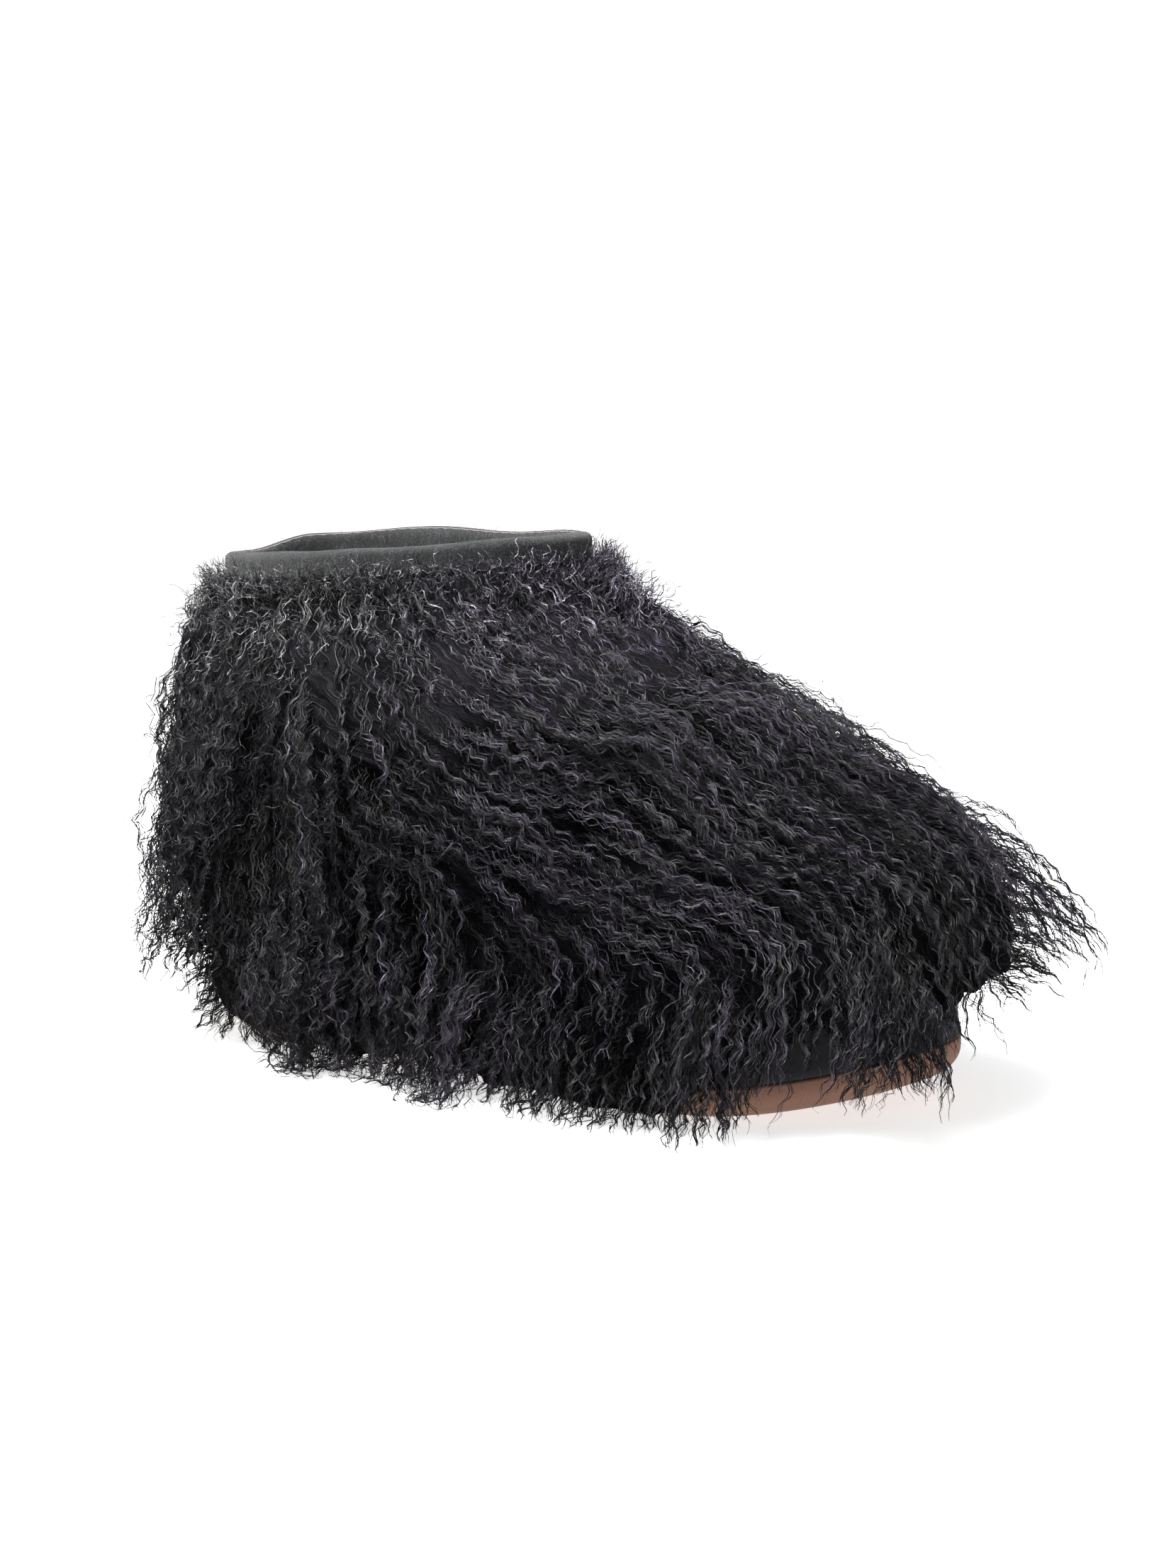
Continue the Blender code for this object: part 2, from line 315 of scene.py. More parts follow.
# The locks' length, crimp and fall by place round a side, from heel to toe
LOCKS = (
    # place, length, crimp, fall
    (0.00, 0.062, 1.15, 0.85),
    (0.30, 0.064, 1.10, 0.90),
    (0.55, 0.066, 0.90, 0.80),
    (0.75, 0.064, 0.70, 0.52),
    (1.00, 0.056, 0.60, 0.28),
)

# How a lock closes from its root to its tip, how its crimp grows, and how a strand thins
LOCK_SPREAD = ((0.0, 1.00), (0.25, 0.66), (0.50, 0.34), (0.75, 0.14), (1.0, 0.03))
CRIMP_GROWTH = ((0.0, 0.25), (0.20, 0.75), (0.50, 1.00), (1.0, 0.80))
STRAND_TAPER = ((0.0, 0.70), (0.20, 1.00), (0.75, 0.90), (1.0, 0.40))

# The strands of a lock: the most that it may have, how much shorter some are, how far strays
# reach out, the waves and the depth of their finer crimp, and how flat their crimp lies
MOST_STRANDS = 31
STRAND_SHORTER = 0.36
STRAY_REACH = 0.0075
FINE_CRIMP_WAVES = 2.3
FINE_CRIMP_DEPTH = 0.20
CRIMP_FLATNESS = 0.65

# The fuzz's strands, which differ from the locks' in these values of their tree
FUZZ_STRANDS = {
    "Lock Radius": 0.0034,
    "Strand Width": 0.00030,
    "Crimp Length": 0.0050,
    "Crimp Depth": 0.0010,
    "Looseness": 0.8,
    "Step": 0.0013,
}
FUZZ_SEED = 40

# The fur's pieces: the side, and the places that each one's roots lie between
FUR_REGIONS = (
    # name, side, from_place, to_place
    ("fur_heel", "both", 0.00, 0.17),
    ("fur_outer_quarter", "outer", 0.17, 0.42),
    ("fur_outer_side", "outer", 0.42, 0.68),
    ("fur_inner_quarter", "inner", 0.17, 0.42),
    ("fur_inner_side", "inner", 0.42, 0.68),
    ("fur_outer_toe", "outer", 0.68, 1.01),
    ("fur_inner_toe", "inner", 0.68, 1.01),
)
FUZZ_REGIONS = (
    # name, from_place, to_place
    ("fuzz_heel", 0.00, 0.50),
    ("fuzz_toe", 0.50, 1.01),
)


# ---- Settings ----


def length_setting(name, description, default):
    """A length that a user may set."""
    return FloatProperty(
        name=name, description=description, default=default, unit="LENGTH", precision=5
    )


def colour_setting(name, description, default):
    """A colour that a user may set."""
    return FloatVectorProperty(
        name=name, description=description, default=default, subtype="COLOR", min=0, max=1
    )


class SlipperShape(bpy.types.PropertyGroup):
    """Sizes of the slipper's sole, rand, upper and collar."""

    length: length_setting(
        "Length", "Length of the sole", round(SOLE_HIGH.y - SOLE_LOW.y, 3)
    )
    ball_width: length_setting(
        "Ball width", "Width of the sole at the ball", round(SOLE_HIGH.x - SOLE_LOW.x, 3)
    )
    heel_back: length_setting("Heel back", "Back of the heel along Y", round(SOLE_HIGH.y, 3))
    sole_edge: length_setting("Sole edge", "Thickness of the sole's edge", 0.010)
    toe_spring: length_setting("Toe spring", "Rise of the sole's tip", 0.011)
    arch_rise: length_setting("Arch", "Rise of the sole's arch", 0.003)
    heel_lift: length_setting("Heel lift", "Rise of the sole behind the heel", 0.0015)
    rand_height: length_setting("Rand height", "Height of the black band", 0.021)
    rand_wall: length_setting("Rand wall", "Thickness of the black band", 0.0035)
    skin_wall: length_setting("Skin", "Thickness of the lambskin and its lining", 0.003)
    footbed: length_setting("Footbed", "Thickness of the footbed", 0.005)
    collar_back: length_setting("Collar back", "Height of the rim over the heel", 0.160)
    collar_front: length_setting(
        "Collar front", "Height of the rim over the instep", round(COLLAR_TOP, 3)
    )
    collar_length: length_setting("Collar length", "Length of the opening's seam", 0.133)
    collar_width: length_setting("Collar width", "Width of the opening's seam", 0.075)
    collar_inset: length_setting("Collar inset", "How far the collar stands in", 0.002)
    collar_stands: length_setting("Collar stands", "Height of the band over its seam", 0.010)
    collar_band: length_setting("Collar band", "Thickness of the felt band", 0.0055)
    gap: length_setting("Gap", "Clearance between two pieces", 0.0003)


class SlipperFur(bpy.types.PropertyGroup):
    """The lamb fur's locks, strands and colours."""

    lock_spacing: length_setting("Lock spacing", "Distance between two roots", 0.0066)
    strands: IntProperty(name="Strands", description="Strands in a lock", default=9, min=1)
    lock_radius: length_setting("Lock radius", "Half the width of a lock", 0.0032)
    strand_width: length_setting("Strand width", "Width of a bundle of hairs", 0.00035)
    crimp_length: length_setting("Crimp length", "Length of one wave", 0.0074)
    crimp_depth: length_setting("Crimp depth", "Depth of one wave", 0.0013)
    step: length_setting("Step", "Distance between a strand's points", 0.0018)
    skirt_spacing: length_setting("Skirt spacing", "Distance between roots at the hem", 0.0056)
    fuzz_spacing: length_setting("Fuzz spacing", "Distance between two tufts of fuzz", 0.0055)
    fuzz_strands: IntProperty(
        name="Fuzz strands", description="Strands in a tuft of fuzz", default=3, min=1
    )
    seed: IntProperty(name="Seed", description="Seed of the fur's chance", default=7)
    # The root's colour, which the wool also takes in the valleys between its painted crests, as
    # painted shade
    root_colour: colour_setting("Root", "Colour near the skin", (0.0034, 0.0029, 0.0041))
    hair_colour: colour_setting("Hair", "Colour of the hair", (0.0120, 0.0103, 0.0145))
    tip_colour: colour_setting("Tips", "Colour of the tips", (0.0212, 0.0184, 0.0248))


class SlipperFinish(bpy.types.PropertyGroup):
    """Colours of the felt, leather and thread."""

    felt: colour_setting("Felt", "Colour of the felt", (0.010, 0.0105, 0.0112))
    felt_fleck: colour_setting("Felt fleck", "Colour of its lighter fibres", (0.052, 0.054, 0.057))
    rand: colour_setting("Rand", "Colour of the band", (0.042, 0.038, 0.050))
    sole: colour_setting("Sole", "Colour of the sole's leather", (0.74, 0.385, 0.262))
    # The sole's darker tan: for its clouds, pores and dust, and as painted shade where it curves
    # under
    sole_dark_and_shade: colour_setting("Sole edge", "Colour of its worn underside", (0.43, 0.215, 0.145))
    thread: colour_setting("Thread", "Colour of the rim's thread", (0.22, 0.19, 0.19))


class SlipperStage(bpy.types.PropertyGroup):
    """The floor, the lights and the camera."""

    floor_colour: colour_setting("Floor", "Colour of the floor", (0.93, 0.93, 0.93))
    world_light: FloatProperty(
        name="World light", description="Strength of the even light", default=0.62, min=0
    )
    key_power: FloatProperty(
        name="Key light", description="Power of the main light", default=19.0, unit="POWER"
    )
    fill_power: FloatProperty(
        name="Fill light", description="Power of the side light", default=10.0, unit="POWER"
    )
    lens: FloatProperty(
        name="Lens", description="Focal length", default=69.0, subtype="DISTANCE_CAMERA"
    )
    camera_place: FloatVectorProperty(
        name="Camera", description="Place of the camera", default=(-0.819, -0.574, 0.251),
        subtype="TRANSLATION",
    )
    aim: FloatVectorProperty(
        name="Aim", description="Point that the camera looks at",
        default=(-0.005, -0.100, 0.092), subtype="TRANSLATION",
    )


def shape():
    """The slipper's sizes."""
    return bpy.context.scene.slipper_shape


def fur_style():
    """The fur's settings."""
    return bpy.context.scene.slipper_fur


def finish_style():
    """The finishes' colours."""
    return bpy.context.scene.slipper_finish


# ---- The sole, the last and the collar as loops of points ----


def column(table, place, number):
    """One numbered column of a table, read at each place."""
    rows = np.array(table, dtype=float)
    return np.interp(place, rows[:, 0], rows[:, number])


def unit(vectors):
    """Vectors made one long."""
    return vectors / np.maximum(np.linalg.norm(vectors, axis=-1, keepdims=True), 1e-12)


def ramp(value, start, length):
    """0 up to the start, 1 past the length beyond it, and a smooth rise between."""
    share = np.clip((value - start) / length, 0, 1)
    return share**2 * (3 - 2 * share)


def closed_curve(points):
    """A smooth closed curve through the points."""
    spans = np.linalg.norm(np.roll(points, -1, axis=0) - points, axis=1)[:, None]
    slopes = (np.roll(points, -1, axis=0) - points) / spans
    before = np.roll(spans, 1, axis=0)
    tangents = (slopes * before + np.roll(slopes, 1, axis=0) * spans) / (spans + before)
    curve = []
    for i, start in enumerate(points):
        end = points[(i + 1) % len(points)]
        leave = tangents[i] * spans[i]
        arrive = tangents[(i + 1) % len(points)] * spans[i]
        for t in np.arange(SPAN_SAMPLES) / SPAN_SAMPLES:
            curve.append(
                start * (2 * t**3 - 3 * t**2 + 1)
                + leave * (t**3 - 2 * t**2 + t)
                + end * (3 * t**2 - 2 * t**3)
                + arrive * (t**3 - t**2)
            )
    return np.array(curve)


def along_line(line, shares):
    """Points of an open line at shares of its length."""
    run = np.concatenate([[0], np.cumsum(np.linalg.norm(np.diff(line, axis=0), axis=1))])
    return np.stack([np.interp(shares * run[-1], run, line[:, k]) for k in range(2)], axis=1)


def round_loop(curve, toe, shares):
    """A closed curve resampled: down the outer side from heel to toe, and back up the inner."""
    outer = along_line(curve[: toe + 1], shares)
    inner = along_line(np.vstack([curve[toe:], curve[:1]])[::-1], shares)
    return np.vstack([outer, inner[-2:0:-1]])


def sole_outline():
    """The sole's edge in plan, one point for each column."""
    sizes = shape()
    along, outer, inner = np.array(OUTLINE).T
    y = sizes.heel_back - along * sizes.length
    heel = [[0.0, sizes.heel_back]]
    toe = [[TOE_TIP_INWARD * sizes.ball_width, sizes.heel_back - sizes.length]]
    outer_side = np.stack([-outer * sizes.ball_width, y], axis=1)
    inner_side = np.stack([inner * sizes.ball_width, y], axis=1)[::-1]
    curve = closed_curve(np.vstack([heel, outer_side, toe, inner_side]))
    toe_sample = (len(OUTLINE) + 1) * SPAN_SAMPLES
    return round_loop(curve, toe_sample, np.linspace(0, 1, SIDE_COLUMNS + 1))


def collar_outline():
    """The collar's skin edge in plan: egg shaped, round at the back and narrower in front."""
    sizes = shape()
    turn = np.arange(COLLAR_SAMPLES) * 2 * np.pi / COLLAR_SAMPLES
    side, half_length = np.sin(turn), sizes.collar_length / 2
    y = sizes.heel_back - sizes.collar_inset - half_length * (1 - np.cos(turn))
    half_width = sizes.collar_width / 2 * (1 - COLLAR_NARROWING * (1 - np.cos(turn)) / 2)
    x = -half_width * np.sign(side) * np.abs(side) ** COLLAR_SIDES
    shares = np.linspace(0, 1, SIDE_COLUMNS + 1) ** COLLAR_CROWDING
    return round_loop(np.stack([x, y], axis=1), COLLAR_SAMPLES // 2, shares)


def outward(loop):
    """Unit vectors in plan that point out of a loop."""
    run = unit(np.roll(loop, -1, axis=0) - np.roll(loop, 1, axis=0))
    return np.stack([run[:, 1], -run[:, 0]], axis=1)


def tread_height(y):
    """Height of the sole's underside: flat under heel and ball, raised at arch and toe."""
    sizes = shape()
    along = (sizes.heel_back - y) / sizes.length
    back = np.clip(1 - along / HEEL_FLAT[0], 0, 1)
    arch = np.clip((along - HEEL_FLAT[1]) / (BALL_FLAT[0] - HEEL_FLAT[1]), 0, 1)
    toe = np.clip((along - BALL_FLAT[1]) / (1 - BALL_FLAT[1]), 0, 1)
    rise = sizes.arch_rise * np.sin(np.pi * arch) ** 2
    return sizes.heel_lift * back**2 + rise + sizes.toe_spring * toe**TOE_CURVE


def on_sole(loop, inset, up):
    """A loop moved in from the sole's edge, at a height over the underside below it."""
    plan = loop - outward(loop) * np.reshape(inset, (-1, 1))
    return np.column_stack([plan, tread_height(plan[:, 1]) + up])


def side_place():
    """Each column's place round its side, 0 at the heel and 1 at the toe."""
    down = np.linspace(0, 1, SIDE_COLUMNS + 1)
    return np.concatenate([down, down[-2:0:-1]])


def wall_loop(inset, rise):
    """A loop on the upright wall over the sole, leaning in as the last does."""
    lean = column(LAST, side_place(), 1) * rise
    return on_sole(sole_outline(), inset + lean, shape().sole_edge + rise)


def skin_grid(levels):
    """Rows of points on the lambskin's outer side, from the rand's top to the collar's seam."""
    sizes = shape()
    place = side_place()
    low = wall_loop(sizes.rand_wall + sizes.gap, sizes.rand_height + sizes.gap)
    plan = collar_outline()
    forward = (sizes.heel_back - plan[:, 1]) / sizes.collar_length
    rim = sizes.collar_back + (sizes.collar_front - sizes.collar_back) * forward
    high = np.column_stack([plan, rim - sizes.collar_stands])
    lean, low_reach, high_reach, waist = (column(LAST, place, k)[:, None] for k in (1, 2, 3, 4))
    flat = np.zeros(len(low))
    out_low = np.column_stack([outward(sole_outline()), flat])
    out_high = np.column_stack([outward(plan), flat])
    up = np.array([0.0, 0.0, 1.0])
    leave = low + (up - out_low * lean) * low_reach
    arrive = high - up * high_reach - out_high * waist
    rows = []
    for t in levels:
        rows.append(
            low * (1 - t) ** 3
            + leave * 3 * t * (1 - t) ** 2
            + arrive * 3 * t**2 * (1 - t)
            + high * t**3
        )
    return np.array(rows)


def grid_normals(grid):
    """Outward unit normals of rows of loops that go up."""
    round_about = np.roll(grid, -1, axis=1) - np.roll(grid, 1, axis=1)
    return unit(np.cross(round_about, np.gradient(grid, axis=0)))


def level_out(loop):
    """Level outward unit vectors of one loop in space."""
    return np.column_stack([outward(loop[:, :2]), np.zeros(len(loop))])


def skin_normals(skin):
    """Outward unit normals of the skin's rows, level at the collar's seam."""
    normals = grid_normals(skin)
    normals[-1] = level_out(skin[-1])
    return normals


def fur_depth(level, place):
    """Depth of the fur over the skin at each level and place."""
    vamp = ramp(place, VAMP_PLACES[0], VAMP_PLACES[1] - VAMP_PLACES[0])
    heel = 1 - ramp(place, 0, HEEL_PLACE)
    made_up = HEEL_MADE_UP * ramp(level, 0, HEEL_LEVEL)
    sides = column(FUR_DEPTH, level, 1) * (1 + heel * (made_up - HEEL_LESS))
    return sides + (column(FUR_DEPTH, level, 2) - sides) * vamp


def wool_depth(level, place):
    """Thickness of the dense wool over the skin at each level and place."""
    heel = (1 - ramp(place, 0, 0.45)) * ramp(level, 0, 0.25) * (1 - ramp(level, 0.5, 0.3))
    toe = ramp(place, 0.78, 0.14) * ramp(level, 0, 0.12) * (1 - ramp(level, 0.45, 0.25))
    share = column(WOOL_SHARE, level, 1) + HEEL_WOOL * heel + TOE_WOOL * toe
    return fur_depth(level, place) * share


def coat_grid():
    """Rows of points on the outside of the dense wool, from its hem to the collar, and their
    levels, which are negative in the hem."""
    sizes = shape()
    place = side_place()
    hem, hem_levels = [], []
    stands = wool_depth(0.0, place) - sizes.rand_wall - sizes.gap
    for share in np.linspace(1, 0, HEM_ROWS, endpoint=False):
        rise = sizes.rand_height - column(HEM_DROP, place, 1) * share
        hem.append(wall_loop(-stands * (1 - HEM_TUCK * share**2), rise))
        hem_levels.append(HEM_LEVEL * share)
    levels = np.linspace(0, 1, SKIN_ROWS)
    skin = skin_grid(levels)
    cover = wool_depth(levels[:, None], place[None, :])
    coat = skin + skin_normals(skin) * cover[..., None]
    return np.concatenate([hem, coat]), np.array([*hem_levels, *levels])


# ---- Meshes ----


def placed(name, data):
    """The object of a finished mesh, riding on the slipper's body."""
    obj = bpy.data.objects.new(name, data)
    bpy.context.scene.collection.objects.link(obj)
    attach(obj, "root")
    return obj


def finished(name, mesh, material):
    """The object of a mesh, facing out and shaded smooth."""
    bmesh.ops.recalc_face_normals(mesh, faces=mesh.faces)
    data = bpy.data.meshes.new(name)
    mesh.to_mesh(data)
    mesh.free()
    data.shade_smooth()
    data.materials.append(material)
    return placed(name, data)


def loop_faces(mesh, loops, closed):
    """Quads between loops of points, and from the last back to the first if closed."""
    rings = [[mesh.verts.new(point) for point in loop] for loop in loops]
    following = rings[1:] + rings[:1] if closed else rings[1:]
    for ring, after in zip(rings, following):
        for j in range(len(ring)):
            k = (j + 1) % len(ring)
            mesh.faces.new((ring[j], ring[k], after[k], after[j]))
    return rings


def ring_piece(name, loops, material):
    """A ring whose section is made by loops that go once round it."""
    mesh = bmesh.new()
    loop_faces(mesh, loops, True)
    return finished(name, mesh, material)


def plate_piece(name, loops, material):
    """A plate made of loops from its top middle, over its edge, to its bottom middle."""
    mesh = bmesh.new()
    rings = loop_faces(mesh, loops, False)
    for ring in (rings[0], rings[-1]):
        last = len(ring)
        mesh.faces.new((ring[0], ring[1], ring[last - 1]))
        for j in range(1, SIDE_COLUMNS - 1):
            mesh.faces.new((ring[j], ring[j + 1], ring[last - j - 1], ring[last - j]))
        mesh.faces.new(ring[SIDE_COLUMNS - 1 : SIDE_COLUMNS + 2])
    return finished(name, mesh, material)


def noise_at(points, size, seed):
    """Soft noise from -1 to 1 at each point."""
    shift = Vector((seed * 3.1, seed * 1.7, seed * 2.3))
    values = [noise.noise(Vector(point) / size + shift) for point in points.reshape(-1, 3)]
    return np.reshape(values, points.shape[:-1])


def uneven(loops, size, depth, seed):
    """Loops moved in and out by soft noise, as thick cloth and wool lie."""
    grid = np.array(loops)
    return grid + grid_normals(grid) * (noise_at(grid, size, seed) * depth)[..., None]


def quarter_round(across, down, steps):
    """Points of a quarter round: how far across and how far under its top each one lies."""
    turns = np.linspace(0, np.pi / 2, steps)
    return [(across * (1 - np.cos(turn)), down * (1 - np.sin(turn))) for turn in turns]


# ---- The fur's locks ----


def combed(grid, normals, levels):
    """The way in which the fur is combed at each point of rows of loops."""
    down = -unit(np.gradient(grid, axis=0))
    ahead = np.array([0.0, -1.0, 0.0]) + normals * normals[..., 1:2]
    share = column(COMB_FORWARD, side_place()[None, :], 1)
    share = share * column(COMB_LEVEL, levels, 1)[:, None]
    return unit(down + unit(ahead) * share[..., None])


def strand_lie(grid, levels):
    """How far across and how far along the combed strands each point of rows of loops is."""
    normals = grid_normals(grid)
    comb = combed(grid, normals, levels)
    up = np.gradient(grid, axis=0)
    rise = np.linalg.norm(up, axis=-1)
    ahead = np.roll(grid, -1, axis=1) - np.roll(grid, 1, axis=1)
    ahead[:, SIDE_COLUMNS:] *= -1
    per_place = np.linalg.norm(ahead, axis=-1) * SIDE_COLUMNS / 2
    downward = np.maximum(-(comb * unit(up)).sum(-1), LEAST_DOWNWARD)
    forward = (comb * unit(ahead)).sum(-1) / downward / per_place
    forward[:, [0, SIDE_COLUMNS]] = 0
    moved = np.cumsum((forward * rise)[::-1], axis=0)[::-1]
    along = np.cumsum(rise[::-1], axis=0)[::-1]
    across = SIDE_LENGTH * (side_place()[None, :] - moved)
    return np.stack([across, along, np.zeros_like(along)], axis=-1)


def refined(rows, up, across):
    """Rows of loops with new rows and columns between them."""
    values = np.concatenate([rows, rows[:, :1]], axis=1)
    for axis, parts in ((0, up), (1, across)):
        at = np.arange((values.shape[axis] - 1) * parts + 1) / parts
        low = np.minimum(at.astype(int), max(values.shape[axis] - 2, 0))
        share = (at - low).reshape([-1 if k == axis else 1 for k in range(values.ndim)])
        following = np.minimum(low + 1, values.shape[axis] - 1)
        values = np.take(values, low, axis) * (1 - share) + np.take(values, following, axis) * share
    return values[:, :-1]


class Body:
    """The slipper's outer skin, from the floor to the collar, as the fur meets it."""

    def __init__(self):
        sizes = shape()
        rises = np.linspace(-sizes.sole_edge, sizes.rand_height, WALL_ROWS)
        wall = [wall_loop(0.0, rise) for rise in rises]
        levels = np.linspace(0, 1, SKIN_ROWS)
        self.coat, self.coat_levels = coat_grid()
        self.grid = np.concatenate([wall, skin_grid(levels)])
        normals = skin_normals(self.grid)
        normals[: WALL_ROWS + 1] = grid_normals(self.grid[: WALL_ROWS + 1])
        self.normals = unit(normals)
        row_levels = np.concatenate([np.linspace(*WALL_LEVELS, WALL_ROWS), levels])
        comb = combed(self.grid, self.normals, row_levels)
        turn = sum(angle * noise_at(self.grid, size, seed) for angle, size, seed in WANDER)
        beside = np.cross(self.normals, comb)
        self.comb = unit(comb * np.cos(turn)[..., None] + beside * np.sin(turn)[..., None])
        rows, columns = self.grid.shape[:2]
        corner = np.arange(rows * columns).reshape(rows, columns)
        beside = np.roll(corner, -1, axis=1)
        quads = np.stack([corner[:-1], beside[:-1], beside[1:], corner[1:]], axis=-1)
        points = self.grid.reshape(-1, 3).tolist()
        self.tree = BVHTree.FromPolygons(points, quads.reshape(-1, 4).tolist())

    def nearest(self, points):
        """For each point: its height over the skin, the skin's normal and the comb there."""
        height = np.empty(len(points))
        cells = np.empty(len(points), int)
        for i, point in enumerate(points):
            near, _, cells[i], _ = self.tree.find_nearest(point)
            height[i] = np.linalg.norm(point - np.array(near))
        row, col = np.divmod(cells, self.grid.shape[1])
        side = (col + 1) % self.grid.shape[1]
        normal = unit(self.normals[row, col] + self.normals[row + 1, side])
        comb = unit(self.comb[row, col] + self.comb[row + 1, side])
        return height, normal, comb

    def scattered(self, spacing, chance, below=9.0):
        """Roots spread evenly over the wool up to a level: points, levels, places and sides."""
        grid = self.coat
        across = np.roll(grid, -1, axis=1) - grid
        area = np.linalg.norm(np.cross(across[:-1], np.diff(grid, axis=0)), axis=2)
        area[self.coat_levels[:-1] > below] = 0
        tries = int(area.sum() / spacing**2 * TRIES_PER_ROOT)
        cells = chance.choice(area.size, tries, p=area.ravel() / area.sum())
        row, col = np.divmod(cells, grid.shape[1])
        up, over = chance.random(tries)[:, None], chance.random(tries)[:, None]
        beside = (col + 1) % grid.shape[1]
        low = grid[row, col] * (1 - over) + grid[row, beside] * over
        high = grid[row + 1, col] * (1 - over) + grid[row + 1, beside] * over
        points = low * (1 - up) + high * up
        chosen = spaced(points, spacing)
        level = np.interp((row + up[:, 0])[chosen], np.arange(len(grid)), self.coat_levels)
        turn = (col + over[:, 0])[chosen] / SIDE_COLUMNS
        return points[chosen], level, np.minimum(turn, 2 - turn), turn < 1


def search_tree(points):
    """A tree that finds the points near a place, by their numbers."""
    tree = KDTree(len(points))
    for i, point in enumerate(points):
        tree.insert(point, i)
    tree.balance()
    return tree


def spaced(points, spacing):
    """The numbers of points that keep their distance from those chosen before them."""
    tree = search_tree(points)
    free = np.ones(len(points), bool)
    chosen = []
    for i, point in enumerate(points):
        if free[i]:
            chosen.append(i)
            for _, other, _ in tree.find_range(point, spacing):
                free[other] = False
    return np.array(chosen)


def only(found, chosen):
    """The chosen ones of scattered roots."""
    return [values[chosen] for values in found]


def joined(found):
    """The points, levels, places and sides of several lots of scattered roots."""
    return [np.concatenate(values) for values in zip(*found)]


def in_tuft(place, outer):
    """Whether each root lies where the toe's tuft grows."""
    return outer & (np.abs(place - TUFT_PLACE) < TUFT_WIDTH)


def grow_paths(body, roots, normal, comb, height, length, fall, top, calm, chance):
    """Paths of the locks, that rise from the wool, bend over and hang."""
    count = len(roots)
    leaning = (0.6 + 0.9 * chance.random((count, 1))) * (1 - 0.7 * top[:, None])
    spread = chance.normal(0, HEADING_SPREAD, (count, 3)) * (1 - 0.4 * calm[:, None])
    heading = unit(normal + comb * leaning + spread)
    heading[:, 2] += 0.45 * top
    point = roots - normal * ROOT_DEPTH
    paths = [point.copy()]
    down = np.array([0.0, 0.0, -1.0])
    drift = chance.normal(0, DRIFT_SPREAD, (count, 3)) * (1 - 0.5 * calm[:, None])
    for step in range(PATH_STEPS):
        share = np.minimum(step * PATH_STEP / length, 1)
        over, out, along = body.nearest(point)

        # it is drawn to its own height over the skin, along the comb, and down as it grows
        lift = np.clip((height - over) / LIFT_HEIGHT, -0.75 - 0.6 * calm, 1.30)
        lift = np.where(lift < 0, lift * (1 - 0.6 * share), lift)
        weight = fall * (0.10 + 0.95 * share**1.4)
        on_floor = point[:, 2] < 0.006
        wish = along + out * (lift + 0.7 * on_floor)[:, None] + down * weight[:, None] + drift
        heading = unit(heading + (unit(wish) - heading) * (PATH_STEP / TURN_LENGTH))
        point = point + heading * PATH_STEP

        # and it glides along the floor where it meets it
        under = point[:, 2] < FLOOR_CLEARANCE
        point[under, 2] = FLOOR_CLEARANCE
        heading[under, 2] = np.abs(heading[under, 2]) * 0.3
        paths.append(point.copy())
    return np.stack(paths, axis=1)


def nearest_leads(roots):
    """The number of the leading lock's root that is nearest to each root."""
    leads = spaced(roots, LEAD_SPACING)
    tree = search_tree(roots[leads])
    return np.array([leads[tree.find(root)[1]] for root in roots])


def clumped(paths, own):
    """Paths drawn together towards those of their leading locks, most at their tips."""
    roots = paths[:, 0]
    share = np.linspace(0, 1, paths.shape[1])[None, :, None]
    apart = (roots - roots[own])[:, None, :] * (1 - CLUMP_CLOSER * share)
    pull = CLUMP_STRENGTH * ramp(share, 0.12, 0.70)
    return paths + (paths[own] + apart - paths) * pull


def swayed(paths, own, facing, sway, chance):
    """Paths with a slow wave, that neighbours in a clump share."""
    along = unit(np.gradient(paths, axis=1))
    beside = unit(np.cross(along, facing[:, None, :]))
    off = np.cross(beside, along)
    run = np.arange(paths.shape[1])[None, :] * PATH_STEP
    wave = SWAY_LENGTH * (0.75 + 0.5 * chance.random((len(paths), 1)))[own]
    turn = 2 * np.pi * (chance.random((len(paths), 1))[own] + 0.12 * chance.random((len(paths), 1)))
    depth = sway[:, None] * ramp(run, 0, SWAY_GROWTH)
    side = np.sin(2 * np.pi * run / wave + turn) * depth
    away = np.cos(2 * np.pi * run / wave + turn) * depth * 0.6
    return paths + beside * side[..., None] + off * away[..., None]


def allowed_box():
    """The box that the fur stays in: the frame's, and how far cloth may stand proud of it."""
    low, high = np.array(CAD_BOX)
    proud = (high - low) * PROUD_SHARE + np.array(PROUD_LENGTH)
    proud[2] = 0
    return low - proud, high + proud


def first_of(marked):
    """The number of each path's first marked point, or of its points if none is marked."""
    return np.where(marked.any(1), marked.argmax(1), marked.shape[1])


